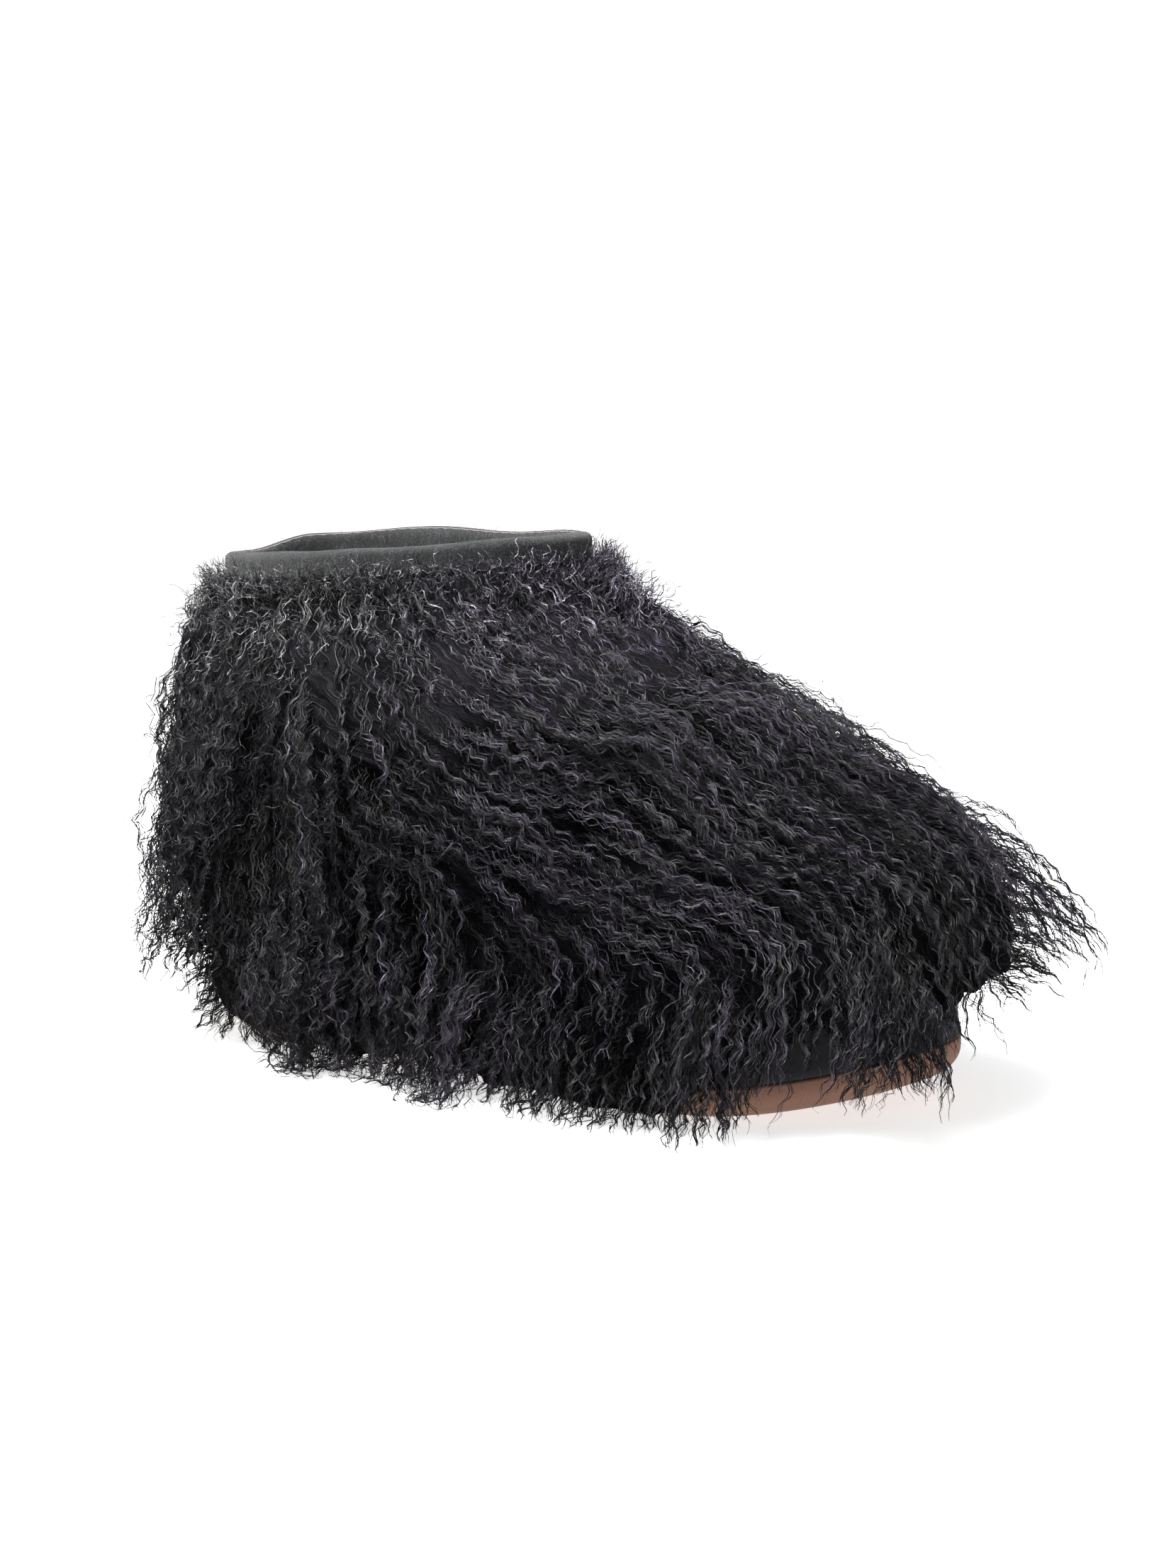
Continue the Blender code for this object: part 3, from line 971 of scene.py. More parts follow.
def path_ends(paths, length, place, outer, own, chance):
    """How many points of each path are kept: its length, less what lies on the floor, under the
    hem's line or out of the box."""
    count, points = paths.shape[:2]
    ends = length / PATH_STEP

    # what lies on the floor, apart from a little of the tip
    first_flat = first_of(paths[:, :, 2] < FLOOR_REACH)
    beyond = chance.exponential(2.4, count)[own] + chance.exponential(0.8, count)
    ends = np.minimum(ends, first_flat + beyond)

    # what hangs under the hem's line or, over the toe, under the toe's
    line = column(HEM_LINE, place, 1) * (0.75 + 0.5 * chance.random(count)[own])
    line[(chance.random(count) < 0.06 + 0.18 * (place < 0.25))[own]] = 0
    tuft = in_tuft(place, outer)
    line[tuft] = TUFT_LINE
    toe = ramp(place, 0.80, 0.10) * (0.85 + 0.25 * chance.random(count)) * ~tuft
    line = np.maximum(line[:, None], column(TOE_LINE, -paths[:, :, 1], 1) * toe[:, None])
    first_under = np.maximum(first_of(paths[:, :, 2] < line), 4)
    ends = np.minimum(ends, first_under + chance.exponential(1.0, count))

    # what stands out of the box
    low, high = allowed_box()
    beyond_box = ((paths < low) | (paths > high))[:, 4:].any(2)
    first_out = np.where(beyond_box.any(1), beyond_box.argmax(1) + 3, points)
    ends = np.minimum(ends, first_out - chance.exponential(1.2, count))
    return np.clip(ends, 3, points - 1).astype(int)


def lock_roots(body, style, chance):
    """The locks' roots: spread over the wool, closer at the hem, and closest in the toe's tuft."""
    spread = body.scattered(style.lock_spacing, chance)
    skirt = body.scattered(style.skirt_spacing, chance, SKIRT_LEVEL)
    thick = body.scattered(TUFT_CLOSER * style.skirt_spacing, chance, TUFT_LEVEL)
    return joined([
        spread,
        only(skirt, (skirt[1] < SKIRT_LEVEL) & (skirt[2] < SKIRT_PLACE)),
        only(thick, (thick[1] < TUFT_LEVEL) & in_tuft(thick[2], thick[3])),
    ])


def lamb_locks(body):
    """The fur's locks: their paths and, for each, its place, side, curl, tone and facing."""
    style = fur_style()
    chance = np.random.default_rng(style.seed)
    roots, level, place, outer = lock_roots(body, style, chance)
    count = len(roots)
    _, normal, comb = body.nearest(roots)
    lump = noise_at(roots, 0.026, 11)
    calm = ramp(place, 0.45, 0.30)
    reach = 0.97 + (0.58 - 0.38 * calm) * lump + (0.26 - 0.1 * calm) * (chance.random(count) - 0.5)
    top = ramp(level, 0.80, 0.20)
    height = np.maximum(fur_depth(level, place) * np.clip(reach, 0.6, 1.35), 0.010)
    own = nearest_leads(roots)
    varied = 0.70 + 0.33 * chance.random(count)[own] + 0.12 * chance.random(count)
    length = column(LOCKS, place, 1) * varied * (1 - 0.30 * top)
    low = (1 - ramp(level, 0, 0.35)) * (1 - ramp(place, 0.80, 0.10))
    fall = column(LOCKS, place, 3) + 0.35 * calm * low
    fall[in_tuft(place, outer)] = TUFT_FALL

    paths = grow_paths(body, roots, normal, comb, height, length, fall, top, calm, chance)
    paths = clumped(paths, own)
    curl = column(LOCKS, place, 2) * (0.75 + 0.5 * chance.random(count))
    paths = swayed(paths, own, normal, SWAY_DEPTH * curl, chance)
    paths[:, :, 2] = np.maximum(paths[:, :, 2], FLOOR_CLEARANCE)
    ends = path_ends(paths, length, place, outer, own, chance)

    # painted light and shade: a lock is painted paler the farther it stands from the skin and the
    # higher its lump lifts it, for the shade deep in the fur, paler towards the collar for the
    # light from above, and darker low down as painted shade; the rest of its tone differs at random
    over = body.nearest(paths.reshape(-1, 3))[0].reshape(paths.shape[:2])
    lift = np.clip(over / np.maximum(height, 0.012)[:, None] / 0.75 - 0.55, 0, 1)
    tone = 0.45 * chance.random(count)[own] + 0.20 * chance.random(count) + 0.50 * (0.40 + lump)
    tone += LOCK_PAINTED_LIGHT * ramp(level, PAINTED_LIGHT_LEVEL, 1 - PAINTED_LIGHT_LEVEL) - 0.15 * (1 - ramp(level, 0, 0.45))
    tone = np.clip(tone - 0.05 * calm, 0, 3.6)
    return {
        "paths": paths, "ends": ends, "facing": normal, "place": place, "outer": outer,
        "curl": curl, "tone": tone, "lift": lift,
    }


def wool_fuzz(body):
    """Short tufts that stand from the wool each way between the locks, as lamb_locks gives."""
    style = fur_style()
    chance = np.random.default_rng(style.seed + 1)
    found = [body.scattered(style.fuzz_spacing, chance)]
    for least, share in CLOSER_FUZZ:
        closer = body.scattered(share * style.fuzz_spacing, chance)
        found.append(only(closer, closer[1] > least))
    roots, level, place, outer = joined(found)
    count = len(roots)
    _, normal, comb = body.nearest(roots)
    top = ramp(level, 0.88, 0.10)[:, None]
    heading = normal * (0.9 - 0.3 * top) + comb * 0.5 * (1 - top)
    heading = unit(heading + chance.normal(0, FUZZ_SPREAD, (count, 3)))
    heading[:, 2:] += 1.3 * top
    point = roots - normal * FUZZ_ROOT_DEPTH
    paths = [point]
    for _ in range(FUZZ_STEPS):
        bend = comb * (0.25 - 0.30 * top) + chance.normal(0, HEADING_SPREAD, (count, 3))
        turned = unit(heading + bend)
        heading = unit(heading + (turned - heading) * 0.6)
        point = point + heading * PATH_STEP
        paths.append(point)
    paths = np.stack(paths, axis=1)
    paths[:, :, 2] = np.maximum(paths[:, :, 2], FLOOR_CLEARANCE)
    length = (0.009 + 0.014 * chance.random(count)) * (1 - 0.50 * top[:, 0])
    ends = path_ends(paths, length, place, outer, np.arange(count), chance)
    curl = 0.7 + 0.6 * chance.random(count)
    # painted light and shade: the fuzz's tone rises towards the collar as painted light, and its
    # lift paints each tuft darker towards its root as painted shade
    tone = 0.6 * chance.random(count) + FUZZ_PAINTED_LIGHT * ramp(level, PAINTED_LIGHT_LEVEL, 1 - PAINTED_LIGHT_LEVEL)
    lift = np.tile(np.linspace(0.25, 0.75, paths.shape[1]), (count, 1))
    return {
        "paths": paths, "ends": ends, "facing": normal, "place": place,
        "curl": curl, "tone": tone, "lift": lift,
    }


def point_values(mesh, name, kind, values):
    """A named value at each point of a mesh."""
    label = "vector" if kind == "FLOAT_VECTOR" else "value"
    number = np.int32 if kind == "INT" else np.float32
    made = mesh.attributes.new(name, kind, "POINT")
    made.data.foreach_set(label, np.ravel(np.array(values, number)))


def guides_of(name, locks, chosen):
    """An object of loose edges, one line for each chosen lock, with what its strands need."""
    points, edges, lift, owner = [], [], [], []
    for i in np.flatnonzero(chosen):
        end = locks["ends"][i] + 1
        first = len(points)
        points.extend(locks["paths"][i, :end].tolist())
        edges.extend((first + k, first + k + 1) for k in range(end - 1))
        lift.extend(locks["lift"][i, :end])
        owner.extend([i] * end)
    mesh = bpy.data.meshes.new(name + "_guides")
    mesh.from_pydata(points, edges, [])
    point_values(mesh, "facing", "FLOAT_VECTOR", locks["facing"][owner])
    point_values(mesh, "lock", "INT", owner)
    point_values(mesh, "tone", "FLOAT", locks["tone"][owner])
    point_values(mesh, "curl", "FLOAT", locks["curl"][owner])
    point_values(mesh, "lift", "FLOAT", lift)
    guides = bpy.data.objects.new(name + "_guides", mesh)
    bpy.context.scene.collection.objects.link(guides)
    return guides


# ---- Node trees ----


def join(tree, value, socket):
    """Links a socket to an input, or sets the input's own value."""
    if isinstance(value, bpy.types.NodeSocket):
        tree.links.new(value, socket)
    else:
        socket.default_value = value


def add(tree, kind, inputs=None, **settings):
    """A node with its settings and inputs. An input is named, or numbered where names repeat."""
    node = tree.nodes.new(kind)
    for key, value in settings.items():
        setattr(node, key, value)
    for key, value in (inputs or {}).items():
        if isinstance(key, str):
            key = next(k for k, s in enumerate(node.inputs) if s.enabled and s.name == key)
        join(tree, value, node.inputs[key])
    return node


def out(node, name=None):
    """The output of a node, the named one or the first that is in use."""
    return next(s for s in node.outputs if s.enabled and name in (None, s.name))


def maths(tree, operation, *values):
    """A maths operation on numbers and sockets."""
    return out(add(tree, "ShaderNodeMath", dict(enumerate(values)), operation=operation))


def product(tree, first, *others):
    """The product of numbers and sockets, multiplied in turn."""
    for value in others:
        first = maths(tree, "MULTIPLY", first, value)
    return first


def vectors(tree, operation, *values):
    """A vector operation. Scale takes its factor last."""
    places = (0, 3) if operation == "SCALE" else (0, 1, 2)
    node = add(tree, "ShaderNodeVectorMath", dict(zip(places, values)), operation=operation)
    return out(node)


def part_of(tree, vector, axis):
    """One part of a vector."""
    return out(add(tree, "ShaderNodeSeparateXYZ", {0: vector}), axis)


def vector_of(tree, *parts):
    """A vector of its parts. Those left out are zero."""
    return out(add(tree, "ShaderNodeCombineXYZ", dict(enumerate(parts))))


def curve_of(tree, value, table):
    """A value read through a curve of points."""
    node = add(tree, "ShaderNodeFloatCurve", {"Value": value})
    points = node.mapping.curves[0].points
    for place, level in table[1:-1]:
        points.new(place, level)
    points[0].location = table[0]
    points[len(points) - 1].location = table[-1]
    node.mapping.update()
    return out(node)


def new_tree(kind, name, inputs, outputs):
    """A node group with named inputs and outputs, and its two end nodes."""
    tree = bpy.data.node_groups.new(name, kind)
    for label, socket_type, value in inputs:
        socket = tree.interface.new_socket(label, in_out="INPUT", socket_type=socket_type)
        if value is not None:
            socket.default_value = value
    for label, socket_type in outputs:
        tree.interface.new_socket(label, in_out="OUTPUT", socket_type=socket_type)
    given = tree.nodes.new("NodeGroupInput").outputs
    result = tree.nodes.new("NodeGroupOutput").inputs
    return tree, given, result


def chance_of(tree, given, each, number, low=0.0, high=1.0):
    """A random value for each strand or lock. The number sets one use apart from another."""
    seed = maths(tree, "ADD", given["Seed"], number)
    inputs = {"Min": low, "Max": high, "ID": each, "Seed": seed}
    return out(add(tree, "FunctionNodeRandomValue", inputs, data_type="FLOAT"))


def named(tree, name, kind="FLOAT"):
    """An attribute by its name."""
    return out(add(tree, "GeometryNodeInputNamedAttribute", {"Name": name}, data_type=kind))


def store(tree, geometry, name, value, kind="FLOAT", domain="POINT"):
    """The geometry with a value stored under a name."""
    inputs = {"Geometry": geometry, "Name": name, "Value": value}
    return out(add(
        tree, "GeometryNodeStoreNamedAttribute", inputs, data_type=kind, domain=domain
    ))


def cross_line(tree):
    """A line one long that lies across a curve: the profile of a ribbon."""
    ends = {"Start": (0, -0.5, 0), "End": (0, 0.5, 0)}
    return out(add(tree, "GeometryNodeCurvePrimitiveLine", ends))


def ribbon(tree, curve, profile, width):
    """The ribbon that a profile makes along a curve."""
    inputs = {"Curve": curve, "Profile Curve": profile, "Scale": width}
    return out(add(tree, "GeometryNodeCurveToMesh", inputs))


def end_tree(tree, mesh, given, result):
    """Ends a geometry tree, with its instances made real and its material set."""
    mesh = out(add(tree, "GeometryNodeRealizeInstances", {"Geometry": mesh}))
    inputs = {"Geometry": mesh, "Material": given["Material"]}
    join(tree, out(add(tree, "GeometryNodeSetMaterial", inputs)), result[0])


def lock_copies(tree, given, lock, strand):
    """The guide lines with a copy for each strand, some of them cut shorter."""
    lines = out(add(tree, "GeometryNodeMeshToCurve", {"Mesh": given["Guides"]}))
    inputs = {"Curve": lines, "Length": given["Step"]}
    lines = out(add(tree, "GeometryNodeResampleCurve", inputs, mode="LENGTH"))
    inputs = {"Geometry": lines, "Amount": given["Strands"]}
    copies = add(tree, "GeometryNodeDuplicateElements", inputs, domain="SPLINE")
    number = maths(tree, "MULTIPLY", lock, MOST_STRANDS)
    number = maths(tree, "ADD", number, out(copies, "Duplicate Index"))
    copied = store(tree, out(copies), "strand", number)
    shorter = maths(tree, "POWER", chance_of(tree, given, strand, 1), 2.0)
    shorter = maths(tree, "MULTIPLY_ADD", shorter, -STRAND_SHORTER, 1.0)
    inputs = {"Curve": copied, "End": shorter}
    return out(add(tree, "GeometryNodeTrimCurve", inputs, mode="FACTOR"))


def strand_place(tree, given, strand, along):
    """How far beside and away from the middle of its lock each strand lies."""
    closing = curve_of(tree, along, LOCK_SPREAD)
    open_share = maths(tree, "SUBTRACT", 1.0, closing)
    closing = maths(tree, "MULTIPLY_ADD", open_share, given["Looseness"], closing)
    spread = maths(tree, "MULTIPLY", given["Lock Radius"], closing)
    turn = chance_of(tree, given, strand, 2, 0.0, 2 * np.pi)
    reach = maths(tree, "SQRT", chance_of(tree, given, strand, 3, 0.02, 1.0))
    stray = maths(tree, "POWER", chance_of(tree, given, strand, 4), 9.0)
    stray = product(tree, stray, along, STRAY_REACH)
    reach = maths(tree, "ADD", maths(tree, "MULTIPLY", spread, reach), stray)
    beside = maths(tree, "MULTIPLY", reach, maths(tree, "COSINE", turn))
    away = maths(tree, "MULTIPLY", reach, maths(tree, "SINE", turn))
    return beside, away


def strand_crimp(tree, given, lock, strand, along, run):
    """How far beside and away its crimp moves each strand, and the angle of its wave, which the
    strands of a lock nearly share."""
    lock_wave = chance_of(tree, given, lock, 5, 0.82, 1.35)
    wave = maths(tree, "MULTIPLY", given["Crimp Length"], lock_wave)
    start = chance_of(tree, given, lock, 6, 0.0, 2 * np.pi)
    loose = maths(tree, "POWER", chance_of(tree, given, lock, 13), 1.7)
    loose = maths(tree, "MULTIPLY_ADD", loose, 1.2, 0.08)
    own_wave = maths(tree, "MULTIPLY", chance_of(tree, given, strand, 12, -0.05, 0.05), loose)
    wave = maths(tree, "MULTIPLY", wave, maths(tree, "ADD", own_wave, 1.0))
    own_start = chance_of(tree, given, strand, 7, -1.0, 1.0)
    own_start = maths(tree, "MULTIPLY", own_start, maths(tree, "SUBTRACT", 1.15, along))
    start = maths(tree, "MULTIPLY_ADD", own_start, loose, start)
    angle = maths(tree, "MULTIPLY_ADD", maths(tree, "DIVIDE", run, wave), 2 * np.pi, start)
    growth = curve_of(tree, along, CRIMP_GROWTH)
    varied = chance_of(tree, given, strand, 8, 0.7, 1.3)
    depth = product(tree, given["Crimp Depth"], named(tree, "curl"), growth, varied)
    fine_start = chance_of(tree, given, strand, 14, 0.0, 6.3)
    fine = maths(tree, "MULTIPLY_ADD", angle, FINE_CRIMP_WAVES, fine_start)
    fine_depth = maths(tree, "MULTIPLY", depth, FINE_CRIMP_DEPTH)
    beside = maths(tree, "MULTIPLY", depth, maths(tree, "SINE", angle))
    beside = maths(tree, "MULTIPLY_ADD", fine_depth, maths(tree, "SINE", fine), beside)
    away = product(tree, depth, maths(tree, "COSINE", angle), CRIMP_FLATNESS)
    away = maths(tree, "MULTIPLY_ADD", fine_depth, maths(tree, "COSINE", fine), away)
    return beside, away, angle


def over_floor(tree, curve, floor):
    """A curve whose points are held over the floor."""
    at = out(add(tree, "GeometryNodeInputPosition"))
    height = maths(tree, "MAXIMUM", part_of(tree, at, "Z"), floor)
    held = vector_of(tree, part_of(tree, at, "X"), part_of(tree, at, "Y"), height)
    return out(add(tree, "GeometryNodeSetPosition", {"Geometry": curve, "Position": held}))


def strand_ribbons(tree, given, curves, strand, along, angle):
    """A tapering ribbon along each strand, turned a little each way from the skin's facing, with
    the values that its material reads, and the number of strands."""
    inputs = {"Curve": curves, "Normal": named(tree, "facing", "FLOAT_VECTOR")}
    curves = out(add(tree, "GeometryNodeSetCurveNormal", inputs, mode="FREE"))
    inputs = {"Curve": curves, "Tilt": chance_of(tree, given, strand, 9, -1.35, 1.35)}
    curves = out(add(tree, "GeometryNodeSetCurveTilt", inputs))
    taper = curve_of(tree, along, STRAND_TAPER)
    varied = chance_of(tree, given, strand, 10, 0.65, 1.25)
    # a painted glint: each strand is painted paler at one phase of every wave of its crimp, where a
    # highlight would fall
    painted_glint = maths(tree, "SINE", maths(tree, "ADD", angle, 1.2))
    for name, value in (
        ("width", product(tree, given["Strand Width"], taper, varied)),
        ("painted_glint", maths(tree, "MULTIPLY_ADD", painted_glint, 0.5, 0.5)),
        ("along", along),
        ("number", out(add(tree, "GeometryNodeCurveOfPoint"), "Curve Index")),
        ("shade", chance_of(tree, given, strand, 11)),
    ):
        curves = store(tree, curves, name, value)
    size = add(tree, "GeometryNodeAttributeDomainSize", {"Geometry": curves}, component="CURVE")
    across = out(add(tree, "GeometryNodeSplineParameter"), "Factor")
    profile = store(tree, cross_line(tree), "across", across)
    return ribbon(tree, curves, profile, named(tree, "width")), out(size, "Spline Count")


def strand_map(tree, mesh, total, rows):
    """The ribbons with a map that lays them side by side, in rows."""
    in_row = maths(tree, "CEIL", maths(tree, "DIVIDE", total, rows))
    number = named(tree, "number")
    row = maths(tree, "FLOOR", maths(tree, "DIVIDE", number, in_row))
    rank = maths(tree, "SUBTRACT", number, maths(tree, "MULTIPLY", row, in_row))
    u = maths(tree, "DIVIDE", maths(tree, "ADD", rank, named(tree, "across")), in_row)
    v = maths(tree, "DIVIDE", maths(tree, "ADD", row, named(tree, "along")), rows)
    return store(tree, mesh, "OFBake", vector_of(tree, u, v), "FLOAT2", "CORNER")


def strand_tree():
    """Geometry nodes that make each guide line a lock of crimped, tapering strands."""
    number, whole = "NodeSocketFloat", "NodeSocketInt"
    tree, given, result = new_tree(
        "GeometryNodeTree",
        "lamb_lock",
        (
            ("Guides", "NodeSocketGeometry", None),
            ("Strands", whole, 8),
            ("Lock Radius", number, 0.0034),
            ("Strand Width", number, 0.0006),
            ("Crimp Length", number, 0.0068),
            ("Crimp Depth", number, 0.0011),
            ("Looseness", number, 0.0),
            ("Step", number, 0.0018),
            ("Floor", number, 0.0006),
            ("Rows", whole, 8),
            ("Seed", whole, 7),
            ("Material", "NodeSocketMaterial", None),
        ),
        (("Fur", "NodeSocketGeometry"),),
    )
    lock, strand = named(tree, "lock", "INT"), named(tree, "strand")
    curves = lock_copies(tree, given, lock, strand)
    spline = add(tree, "GeometryNodeSplineParameter")
    along, run = out(spline, "Factor"), out(spline, "Length")
    place_beside, place_away = strand_place(tree, given, strand, along)
    crimp_beside, crimp_away, angle = strand_crimp(tree, given, lock, strand, along, run)

    tangent = out(add(tree, "GeometryNodeInputTangent"))
    facing = named(tree, "facing", "FLOAT_VECTOR")
    beside = vectors(tree, "NORMALIZE", vectors(tree, "CROSS_PRODUCT", tangent, facing))
    away = vectors(tree, "CROSS_PRODUCT", beside, tangent)
    shift = vectors(
        tree, "ADD",
        vectors(tree, "SCALE", beside, maths(tree, "ADD", place_beside, crimp_beside)),
        vectors(tree, "SCALE", away, maths(tree, "ADD", place_away, crimp_away)),
    )
    curves = out(add(tree, "GeometryNodeSetPosition", {"Geometry": curves, "Offset": shift}))
    curves = over_floor(tree, curves, given["Floor"])

    mesh, total = strand_ribbons(tree, given, curves, strand, along, angle)
    mesh = strand_map(tree, mesh, total, given["Rows"])
    mesh = out(add(tree, "GeometryNodeSetShadeSmooth", {"Geometry": mesh}))
    end_tree(tree, mesh, given, result)
    return tree


def made_by_nodes(name, source, tree, values):
    """The plain mesh object that a geometry tree makes of a source object."""
    modifier = source.modifiers.new(tree.name, "NODES")
    modifier.node_group = tree
    for item in tree.interface.items_tree:
        if item.in_out == "INPUT" and item.name in values:
            modifier[item.identifier] = values[item.name]
    graph = bpy.context.evaluated_depsgraph_get()
    data = bpy.data.meshes.new_from_object(source.evaluated_get(graph), depsgraph=graph)
    data.name = name
    source.modifiers.remove(modifier)
    return placed(name, data)


def nap_tree():
    """Geometry nodes that set short bent fibres on felt."""
    number = "NodeSocketFloat"
    tree, given, result = new_tree(
        "GeometryNodeTree",
        "felt_nap_fibres",
        (
            ("Felt", "NodeSocketGeometry", None),
            ("Fibres", number, 130000.0),
            ("Fibre Length", number, 0.0016),
            ("Fibre Width", number, 0.00007),
            ("Seed", "NodeSocketInt", 3),
            ("Material", "NodeSocketMaterial", None),
        ),
        (("Nap", "NodeSocketGeometry"),),
    )
    index = out(add(tree, "GeometryNodeInputIndex"))
    inputs = {"Mesh": given["Felt"], "Density": given["Fibres"], "Seed": given["Seed"]}
    spread = add(tree, "GeometryNodeDistributePointsOnFaces", inputs)
    length = given["Fibre Length"]
    middle = vector_of(tree, 0.0, 0.0, maths(tree, "MULTIPLY", length, 0.75))
    tip = vector_of(tree, length, 0.0, maths(tree, "MULTIPLY", length, 0.55))
    inputs = {"Resolution": 4, "Start": (0, 0, 0), "Middle": middle, "End": tip}
    bent = out(add(tree, "GeometryNodeCurveQuadraticBezier", inputs))
    fibre = ribbon(tree, bent, cross_line(tree), given["Fibre Width"])
    spin = vector_of(
        tree,
        chance_of(tree, given, index, 1, -0.5, 0.5),
        chance_of(tree, given, index, 2, -0.5, 0.5),
        chance_of(tree, given, index, 3, 0.0, 2 * np.pi),
    )
    inputs = {"Rotation": out(spread, "Rotation"), "Rotate By": spin}
    turned = out(add(tree, "FunctionNodeRotateRotation", inputs, rotation_space="LOCAL"))
    size = chance_of(tree, given, index, 4, 0.45, 1.3)
    placed_fibres = out(add(
        tree, "GeometryNodeInstanceOnPoints",
        {"Points": out(spread, "Points"), "Instance": fibre, "Rotation": turned, "Scale": size},
    ))
    end_tree(tree, placed_fibres, given, result)
    return tree


# ---- Materials ----


def mixed(tree, share, first, second, blend="MIX"):
    """Two colours mixed by a share."""
    node = add(tree, "ShaderNodeMix", data_type="RGBA", blend_type=blend)
    for name, value in (("Factor", share), ("A", first), ("B", second)):
        join(tree, value, next(s for s in node.inputs if s.enabled and s.name == name))
    return out(node)


def ranged(tree, value, low, high, to_low=0.0, to_high=1.0):
    """A value read smoothly from one range into another."""
    names = ("Value", "From Min", "From Max", "To Min", "To Max")
    inputs = dict(zip(names, (value, low, high, to_low, to_high)))
    return out(add(tree, "ShaderNodeMapRange", inputs, interpolation_type="SMOOTHSTEP"))


def noise_of(tree, place, scale, detail=3.0, rough=0.55):
    """Noise from 0 to 1 at a place."""
    inputs = {"Vector": place, "Scale": scale, "Detail": detail, "Roughness": rough}
    return out(add(tree, "ShaderNodeTexNoise", inputs), "Fac")


def object_place(tree):
    """Where a point of the surface is, in metres in the slipper's frame."""
    return out(add(tree, "ShaderNodeTexCoord"), "Object")


def shader_group(name, inputs, outputs):
    """A new shader node group, the sockets it is given and the sockets of its result."""
    return new_tree("ShaderNodeTree", name, inputs, outputs)


# What the hair's material reads from the strands, of which the tone, the lift and the glint
# carry painted light and shade, and the neutral grey that the hair is painted where the painted
# light at the top is strongest
HAIR_VALUES = ("Along", "Across", "Tone", "Shade", "Painted_Glint", "Lift")
TOP_HAIR = (0.0125, 0.0125, 0.0125)


def hair_group():
    """Colour and fine relief of a bundle of hairs, from root to tip and from lock to lock."""
    number, colour = "NodeSocketFloat", "NodeSocketColor"
    tree, given, result = shader_group(
        "lamb_hair",
        (
            *((name, colour, None) for name in ("Root", "Hair", "Tip")),
            *((name, number, 0.5) for name in HAIR_VALUES),
        ),
        (("Color", colour), ("Height", number)),
    )
    body = mixed(tree, ranged(tree, given["Along"], 0.0, 0.45), given["Root"], given["Hair"])
    tip = mixed(tree, ranged(tree, given["Along"], 0.55, 1.0), body, given["Tip"])
    # painted light: where the tone carries the most painted light, towards the collar, the hair is
    # painted a neutral grey
    painted_top_grey = ranged(tree, given["Tone"], 0.9, 2.2, 0.0, 0.8)
    tip = mixed(tree, painted_top_grey, tip, solid(TOP_HAIR))
    shade = maths(tree, "POWER", given["Shade"], 3.0)
    # brightness: the tone with its painted light and shade, a random shade for each strand, the
    # painted glint on each wave of the crimp, painted shade deep in the fur from the lift, and fine
    # noise that breaks the painted glints into spots
    broken = noise_of(tree, object_place(tree), 1100.0, 2.0, 0.6)
    bright = product(
        tree,
        maths(tree, "MULTIPLY_ADD", given["Tone"], 1.24, 0.20),
        maths(tree, "MULTIPLY_ADD", shade, 3.8, 0.24),
        ranged(tree, given["Painted_Glint"], 0.35, 1.0, 0.54, 2.2),
        ranged(tree, given["Lift"], 0.0, 0.9, 0.30, 1.35),
        ranged(tree, broken, 0.34, 0.66, 0.35, 1.75),
    )
    grey = out(add(tree, "ShaderNodeCombineColor", {0: bright, 1: bright, 2: bright}))
    join(tree, mixed(tree, 1.0, tip, grey, "MULTIPLY"), result["Color"])
    hairs = maths(tree, "MULTIPLY", given["Across"], 3 * np.pi)
    join(tree, maths(tree, "ABSOLUTE", maths(tree, "SINE", hairs)), result["Height"])
    return tree


def felt_group():
    """Colour and relief of pressed wool: flecks of paler fibre and a soft uneven nap."""
    number, colour = "NodeSocketFloat", "NodeSocketColor"
    tree, given, result = shader_group(
        "pressed_felt",
        (("Felt", colour, None), ("Fleck", colour, None), ("Scale", number, 1.0)),
        (("Color", colour), ("Height", number)),
    )
    place = vectors(tree, "SCALE", object_place(tree), given["Scale"])
    cloud = noise_of(tree, place, 90.0, 4.0)
    fibre = noise_of(tree, place, 1500.0, 4.0, 0.7)
    long_fibre = out(add(tree, "ShaderNodeTexNoise", {
        "Vector": vectors(tree, "MULTIPLY", place, (1.0, 1.0, 0.35)),
        "Scale": 900.0, "Detail": 3.0, "Distortion": 1.6,
    }), "Fac")
    fleck = ranged(tree, maths(tree, "MULTIPLY", fibre, long_fibre), 0.24, 0.40)
    shaded = mixed(tree, ranged(tree, cloud, 0.3, 0.7, 0.0, 0.22), given["Felt"], given["Fleck"])
    join(tree, mixed(tree, fleck, shaded, given["Fleck"]), result["Color"])
    join(tree, maths(tree, "ADD", fibre, maths(tree, "MULTIPLY", cloud, 0.6)), result["Height"])
    return tree


def grain_group():
    """Relief of smooth leather: fine cells with shallow creases, and a mask of its pores."""
    number = "NodeSocketFloat"
    tree, given, result = shader_group(
        "leather_grain", (("Scale", number, 900.0),), (("Height", number), ("Pores", number)),
    )
    place = object_place(tree)
    inputs = {"Vector": place, "Scale": given["Scale"]}
    cells = add(tree, "ShaderNodeTexVoronoi", inputs, feature="DISTANCE_TO_EDGE")
    edge = out(cells, "Distance")
    crease = noise_of(tree, place, maths(tree, "MULTIPLY", given["Scale"], 0.14), 5.0)
    crease = maths(tree, "MULTIPLY", crease, 0.8)
    height = maths(tree, "ADD", ranged(tree, edge, 0.0, 0.12), crease)
    join(tree, height, result["Height"])
    join(tree, ranged(tree, edge, 0.0, 0.05, 1.0, 0.0), result["Pores"])
    return tree


